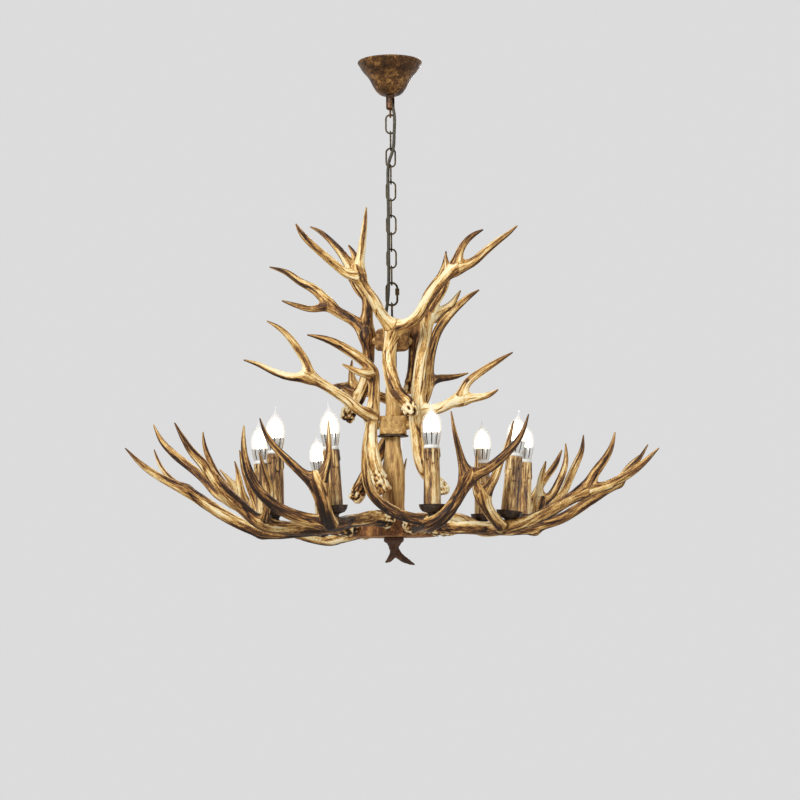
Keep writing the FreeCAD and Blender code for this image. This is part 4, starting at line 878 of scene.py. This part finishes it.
def sleeve_points(k):
    """The candle's wax: a tapered tube with runs of wax that hang from its rim."""
    draw = np.random.default_rng(40 + k)
    low = dish_height(k) + DISH_WALL + 0.2 * DISH_DEPTH
    high = dish_height(k) + DISH_WALL + SLEEVE_LENGTH
    z = np.linspace(low, high, SLEEVE_RINGS)
    angle = np.arange(SLEEVE_AROUND) * 2 * math.pi / SLEEVE_AROUND
    angle_grid, z_grid = np.meshgrid(angle, z)
    base = SLEEVE_R + (SLEEVE_TOP_R - SLEEVE_R) * np.clip((z_grid - low - 0.02) / (high - low - 0.02), 0, 1)
    runs = np.zeros_like(base)
    for i in range(WAX_RUNS):
        middle = (i + draw.uniform(-0.3, 0.3)) * 2 * math.pi / WAX_RUNS
        length = draw.choice([0.010, 0.016, 0.024, 0.036]) * draw.uniform(0.8, 1.2)
        width = draw.uniform(0.17, 0.27)
        away = np.abs((angle_grid - middle + math.pi) % (2 * math.pi) - math.pi)
        end = high - length
        over = np.clip((end - z_grid) / 0.0035, 0, 1)
        drop = 1 + 0.35 * np.exp(-((z_grid - end - 0.002) / 0.004) ** 2)
        across = np.clip(1 - (away / width) ** 2, 0, 1) ** 0.6
        runs = np.maximum(runs, across * np.sqrt(np.clip(1 - over ** 2, 0, 1)) * drop)
    edge = high - 0.006 + 0.002 * np.sin(angle_grid * 5 + k) + 0.0012 * np.sin(angle_grid * 11 + 2 * k)
    runs = np.maximum(runs, 0.85 * ease(-0.0012, 0.0012, z_grid - edge))
    ring = np.stack([np.cos(angle_grid), np.sin(angle_grid)], -1)
    flow = np.concatenate([ring * 1.9, (z_grid[..., None] - low) / 0.06 + 2 * k], -1)
    bark = (noise(flow * np.array([1.3, 1.3, 1.0]), 1.0, k)
            + 0.6 * noise(flow * np.array([3, 3, 2.2]), 1.0, k + 9))
    plain = 1 - np.clip(runs, 0, 1)
    radius = base - 0.0004 + 0.0015 * runs + 0.0007 * bark * (0.35 + 0.65 * plain)
    outline = 4 * np.clip(runs, 0, 1) * plain
    outer = np.stack([radius * ring[..., 0], radius * ring[..., 1], z_grid], -1)
    values = np.clip(0.35 * bark * plain + 0.35 * np.clip(runs, 0, 1) - 0.95 * outline, -1.1, 1)
    inner_r = SLEEVE_TOP_R - SLEEVE_WALL
    closing = []
    for r, height in ((radius[-1] - 0.0008, high + 0.0004), (inner_r + 0.0002, high),
                      (inner_r, high - 0.002), (inner_r, low)):
        r = np.broadcast_to(r, SLEEVE_AROUND)
        closing.append(np.stack([r * ring[-1, :, 0], r * ring[-1, :, 1],
                                 np.full(SLEEVE_AROUND, height)], -1))
    points = np.concatenate([outer, np.array(closing)]).reshape(-1, 3)
    extra = len(closing)
    values = np.concatenate([values, np.repeat(values[-1:], extra, 0)]).ravel()
    flow = np.concatenate([flow, np.repeat(flow[-1:], extra, 0)]).reshape(-1, 3)
    return points, values, flow, SLEEVE_RINGS + extra


def make_sleeves():
    points, faces, values, flows = [], [], [], []
    for k in range(len(candles)):
        some, value, flow, rings = sleeve_points(k)
        faces += seamless(rings, SLEEVE_AROUND, len(points))
        points += list(placed(some, k))
        values.append(value)
        flows.append(flow)
    obj = new_piece("candle_wax_sleeves", points, faces, wax_material())
    keep_values(obj, groove=np.concatenate(values), flow=np.concatenate(flows))
    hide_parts("candle_sleeves")
    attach(obj, "fixture")


def lathe(profile, around, wave=None):
    """Points of a turned piece, (radius, height) pairs from its foot to its top; wave gives each
    point's change of radius from its angle and height."""
    profile = np.array(profile, float)
    angle = np.arange(around) * 2 * math.pi / around
    angle_grid, _ = np.meshgrid(angle, profile[:, 1])
    radius = np.repeat(profile[:, :1], around, 1)
    height = np.repeat(profile[:, 1:], around, 1)
    if wave is not None:
        radius = radius + wave(angle_grid, height)
    return np.stack([radius * np.cos(angle_grid), radius * np.sin(angle_grid), height], -1)


def turned_piece(name, profile, around, look, k, replaced, wave=None, values=None, bend=None):
    grid = lathe(profile, around, wave)
    flat = grid.reshape(-1, 3)
    if bend is not None:
        flat = bend(flat)
    obj = new_piece(name, placed(flat, k), ring_faces(len(profile), around), look)
    if values is not None:
        keep_values(obj, groove=values(grid).ravel())
    if replaced:
        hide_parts(replaced)
    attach(obj, replaced or "fixture")


FLUTES, COLLAR_STEPS, COLLAR_AROUND, GLASS_RINGS, CORE_RINGS = 10, 14, 140, 60, 26
AXIS_R = 0.0005  # the least radius of a turned piece
CORE_SHARE = 0.66  # how far up the glass its glowing core reaches


def flute(angle):
    """1 on a rib of the metal collar and 0 in a slot."""
    return ease(0.12, 0.45, np.abs(np.cos(angle * FLUTES / 2)))


def make_bulbs():
    white = plain_material("white_ceramic", (0.80, 0.79, 0.75), 0.3)
    brass = metal_material("cap_brass", (0.28, 0.2, 0.1), (0.7, 0.55, 0.3), 0.3, 200.0, 0.0001)
    fluted, glass, glow = fluted_material(), glass_material(), glow_material()
    for k in range(len(candles)):
        z = dish_height(k) + DISH_WALL + SLEEVE_LENGTH + GAP
        node_name = "bulb_%d" % (k + 1)
        cap = [(AXIS_R, z - CAP_LENGTH), (CAP_R - 0.003, z - CAP_LENGTH)]
        for i in range(34):
            height = z - CAP_LENGTH + 0.003 + i * 0.0005
            cap.append((CAP_R - 0.0004 + 0.0004 * math.cos(i * 2 * math.pi / 6), height))
        cap += [(CAP_R, z + 0.0005), (AXIS_R, z + 0.0005)]
        turned_piece(node_name + "_cap", cap, 32, brass, k, node_name)
        ring = [(AXIS_R, z), (RING_R - 0.0016, z), (RING_R - 0.0004, z + 0.0005),
                (RING_R, z + 0.0016), (RING_R, z + RING_HEIGHT - 0.0014),
                (RING_R - 0.0005, z + RING_HEIGHT - 0.0004), (RING_R - 0.0014, z + RING_HEIGHT),
                (AXIS_R, z + RING_HEIGHT)]
        turned_piece(node_name + "_ring", ring, 48, white, k, node_name)
        z += RING_HEIGHT
        collar = [(AXIS_R, z)]
        for i in range(COLLAR_STEPS + 1):
            t = i / COLLAR_STEPS
            swell = 0.0006 * math.sin(math.pi * t)
            collar.append((FLUTED_BOTTOM_R + (FLUTED_TOP_R - FLUTED_BOTTOM_R) * t + swell,
                           z + FLUTED_HEIGHT * t))
        collar.append((AXIS_R, z + FLUTED_HEIGHT))

        def cut(angle, height, low=z):
            share = ease(0.05, 0.2, (height - low) / FLUTED_HEIGHT)
            share = share * ease(1.0, 0.9, (height - low) / FLUTED_HEIGHT)
            return -0.0013 * (1 - flute(angle)) * share

        # 1 on the ribs and 0 in the slots: the painted shade in the slots that the fluted metal reads.
        def shade(grid, low=z):
            angle = np.arctan2(grid[..., 1], grid[..., 0])
            share = ease(0.02, 0.12, (grid[..., 2] - low) / FLUTED_HEIGHT)
            return 1 - (1 - flute(angle)) * share

        turned_piece(node_name + "_collar", collar, COLLAR_AROUND, fluted, k,
                     node_name, cut, shade)
        z += FLUTED_HEIGHT
        g, h = GLASS_R, GLASS_HEIGHT
        knots = [0, 0.13, 0.32, 0.50, 0.65, 0.78, 0.92, 1.0]
        widths = [FLUTED_TOP_R - 0.0003, g, 0.97 * g, 0.78 * g, 0.42 * g, 0.17 * g, 0.07 * g, 0.02 * g]
        at = np.linspace(0, 1, GLASS_RINGS)
        wide = np.maximum(through(knots, widths, at), 0.0003)
        profile = [(w, z + t * h) for w, t in zip(wide, at)]
        way = 1 if k % 2 else -1

        def drawn_out(points, low=z, side=way):
            t = np.clip((points[:, 2] - low - 0.68 * h) / (0.32 * h), 0, 1)
            moved = points.copy()
            moved[:, 0] += side * 0.0022 * t ** 2 * (1 - 0.55 * t)
            return moved

        turned_piece(node_name + "_glass", profile, 48, glass, k, node_name,
                     bend=drawn_out)
        core = []
        for t in np.linspace(0.0, 1.0, CORE_RINGS):
            width = float(through(knots, widths, np.array([min(0.98, t * CORE_SHARE)]))[0])
            core.append((max(0.0004, (width - 0.0030) * math.sqrt(max(0.0, 1 - t ** 4))),
                         z + 0.0006 + t * CORE_SHARE * h))
        turned_piece(node_name + "_glow", core, 32, glow, k, node_name)


make_sleeves()
make_bulbs()

# ---- finish of the CAD nodes that stay ----
for node_name, obj in frame["nodes"].items():
    look = METALS.get(SLOT_OF[node_name])
    if look is None or obj.hide_render:
        continue
    obj.data.materials.clear()
    obj.data.materials.append(look)

# ---- floor, backdrop and light ----
PALE = (0.716, 0.716, 0.716, 1)
FLOOR_HEIGHT, FLOOR_HALF = -3.0, 30.0


def seen_directly(tree):
    """1 for what the camera, a mirror or glass sees, 0 for light that falls on things."""
    path = node(tree, "LightPath")
    both = node(tree, "Math", {0: path.outputs["Is Camera Ray"], 1: path.outputs["Is Glossy Ray"]},
                operation="MAXIMUM")
    return node(tree, "Math", {0: both.outputs[0], 1: path.outputs["Is Transmission Ray"]},
                operation="MAXIMUM").outputs[0]


def make_floor():
    look, tree, bsdf = material("pale_floor")
    size = FLOOR_HALF
    obj = new_piece("floor", [(-size, -size, FLOOR_HEIGHT), (size, -size, FLOOR_HEIGHT),
                              (size, size, FLOOR_HEIGHT), (-size, size, FLOOR_HEIGHT)],
                    [(0, 1, 2, 3)], look)
    fill(tree, bsdf, {"Base Color": (0.74, 0.74, 0.74, 1), "Roughness": 0.9})
    shine = node(tree, "Emission", {"Color": PALE, "Strength": 1.0})
    away = node(tree, "VectorMath", {0: place_in_object(tree)}, operation="LENGTH")
    away = node(tree, "MapRange", {"Value": away.outputs["Value"], "From Min": 3.4, "From Max": 6.5})
    share = node(tree, "Math", {0: away.outputs[0], 1: seen_directly(tree)}, operation="MULTIPLY")
    mix = node(tree, "MixShader", {0: share.outputs[0], 1: bsdf.outputs[0], 2: shine.outputs[0]})
    tree.links.new(mix.outputs[0], tree.nodes["Material Output"].inputs["Surface"])


def make_world(level):
    world = bpy.data.worlds.new("studio")
    bpy.context.scene.world = world
    world.use_nodes = True
    tree = world.node_tree
    soft = tree.nodes["Background"]
    fill(tree, soft, {"Color": (1.0, 0.99, 0.97, 1), "Strength": level})
    seen = node(tree, "Background", {"Color": PALE, "Strength": 1.0})
    mix = node(tree, "MixShader", {0: seen_directly(tree), 1: soft.outputs[0], 2: seen.outputs[0]})
    tree.links.new(mix.outputs[0], tree.nodes["World Output"].inputs["Surface"])


def soft_box(name, place, target, size, power):
    data = bpy.data.lights.new(name, "AREA")
    data.shape, data.size, data.energy = "SQUARE", size, power
    lamp = bpy.data.objects.new(name, data)
    lamp.location = place
    lamp.rotation_mode = "QUATERNION"
    lamp.rotation_quaternion = (Vector(target) - Vector(place)).to_track_quat("-Z", "Y")
    bpy.context.scene.collection.objects.link(lamp)


make_floor()
make_world(0.40)
soft_box("key", (-1.7, -2.4, 1.0), (0, 0, -0.7), 1.2, 92)
soft_box("fill", (2.4, -1.8, -0.3), (0, 0, -0.7), 1.6, 26)
soft_box("rim", (0.6, 2.6, 0.8), (0, 0, -0.6), 1.2, 34)
bpy.context.scene.view_settings.view_transform = "Standard"
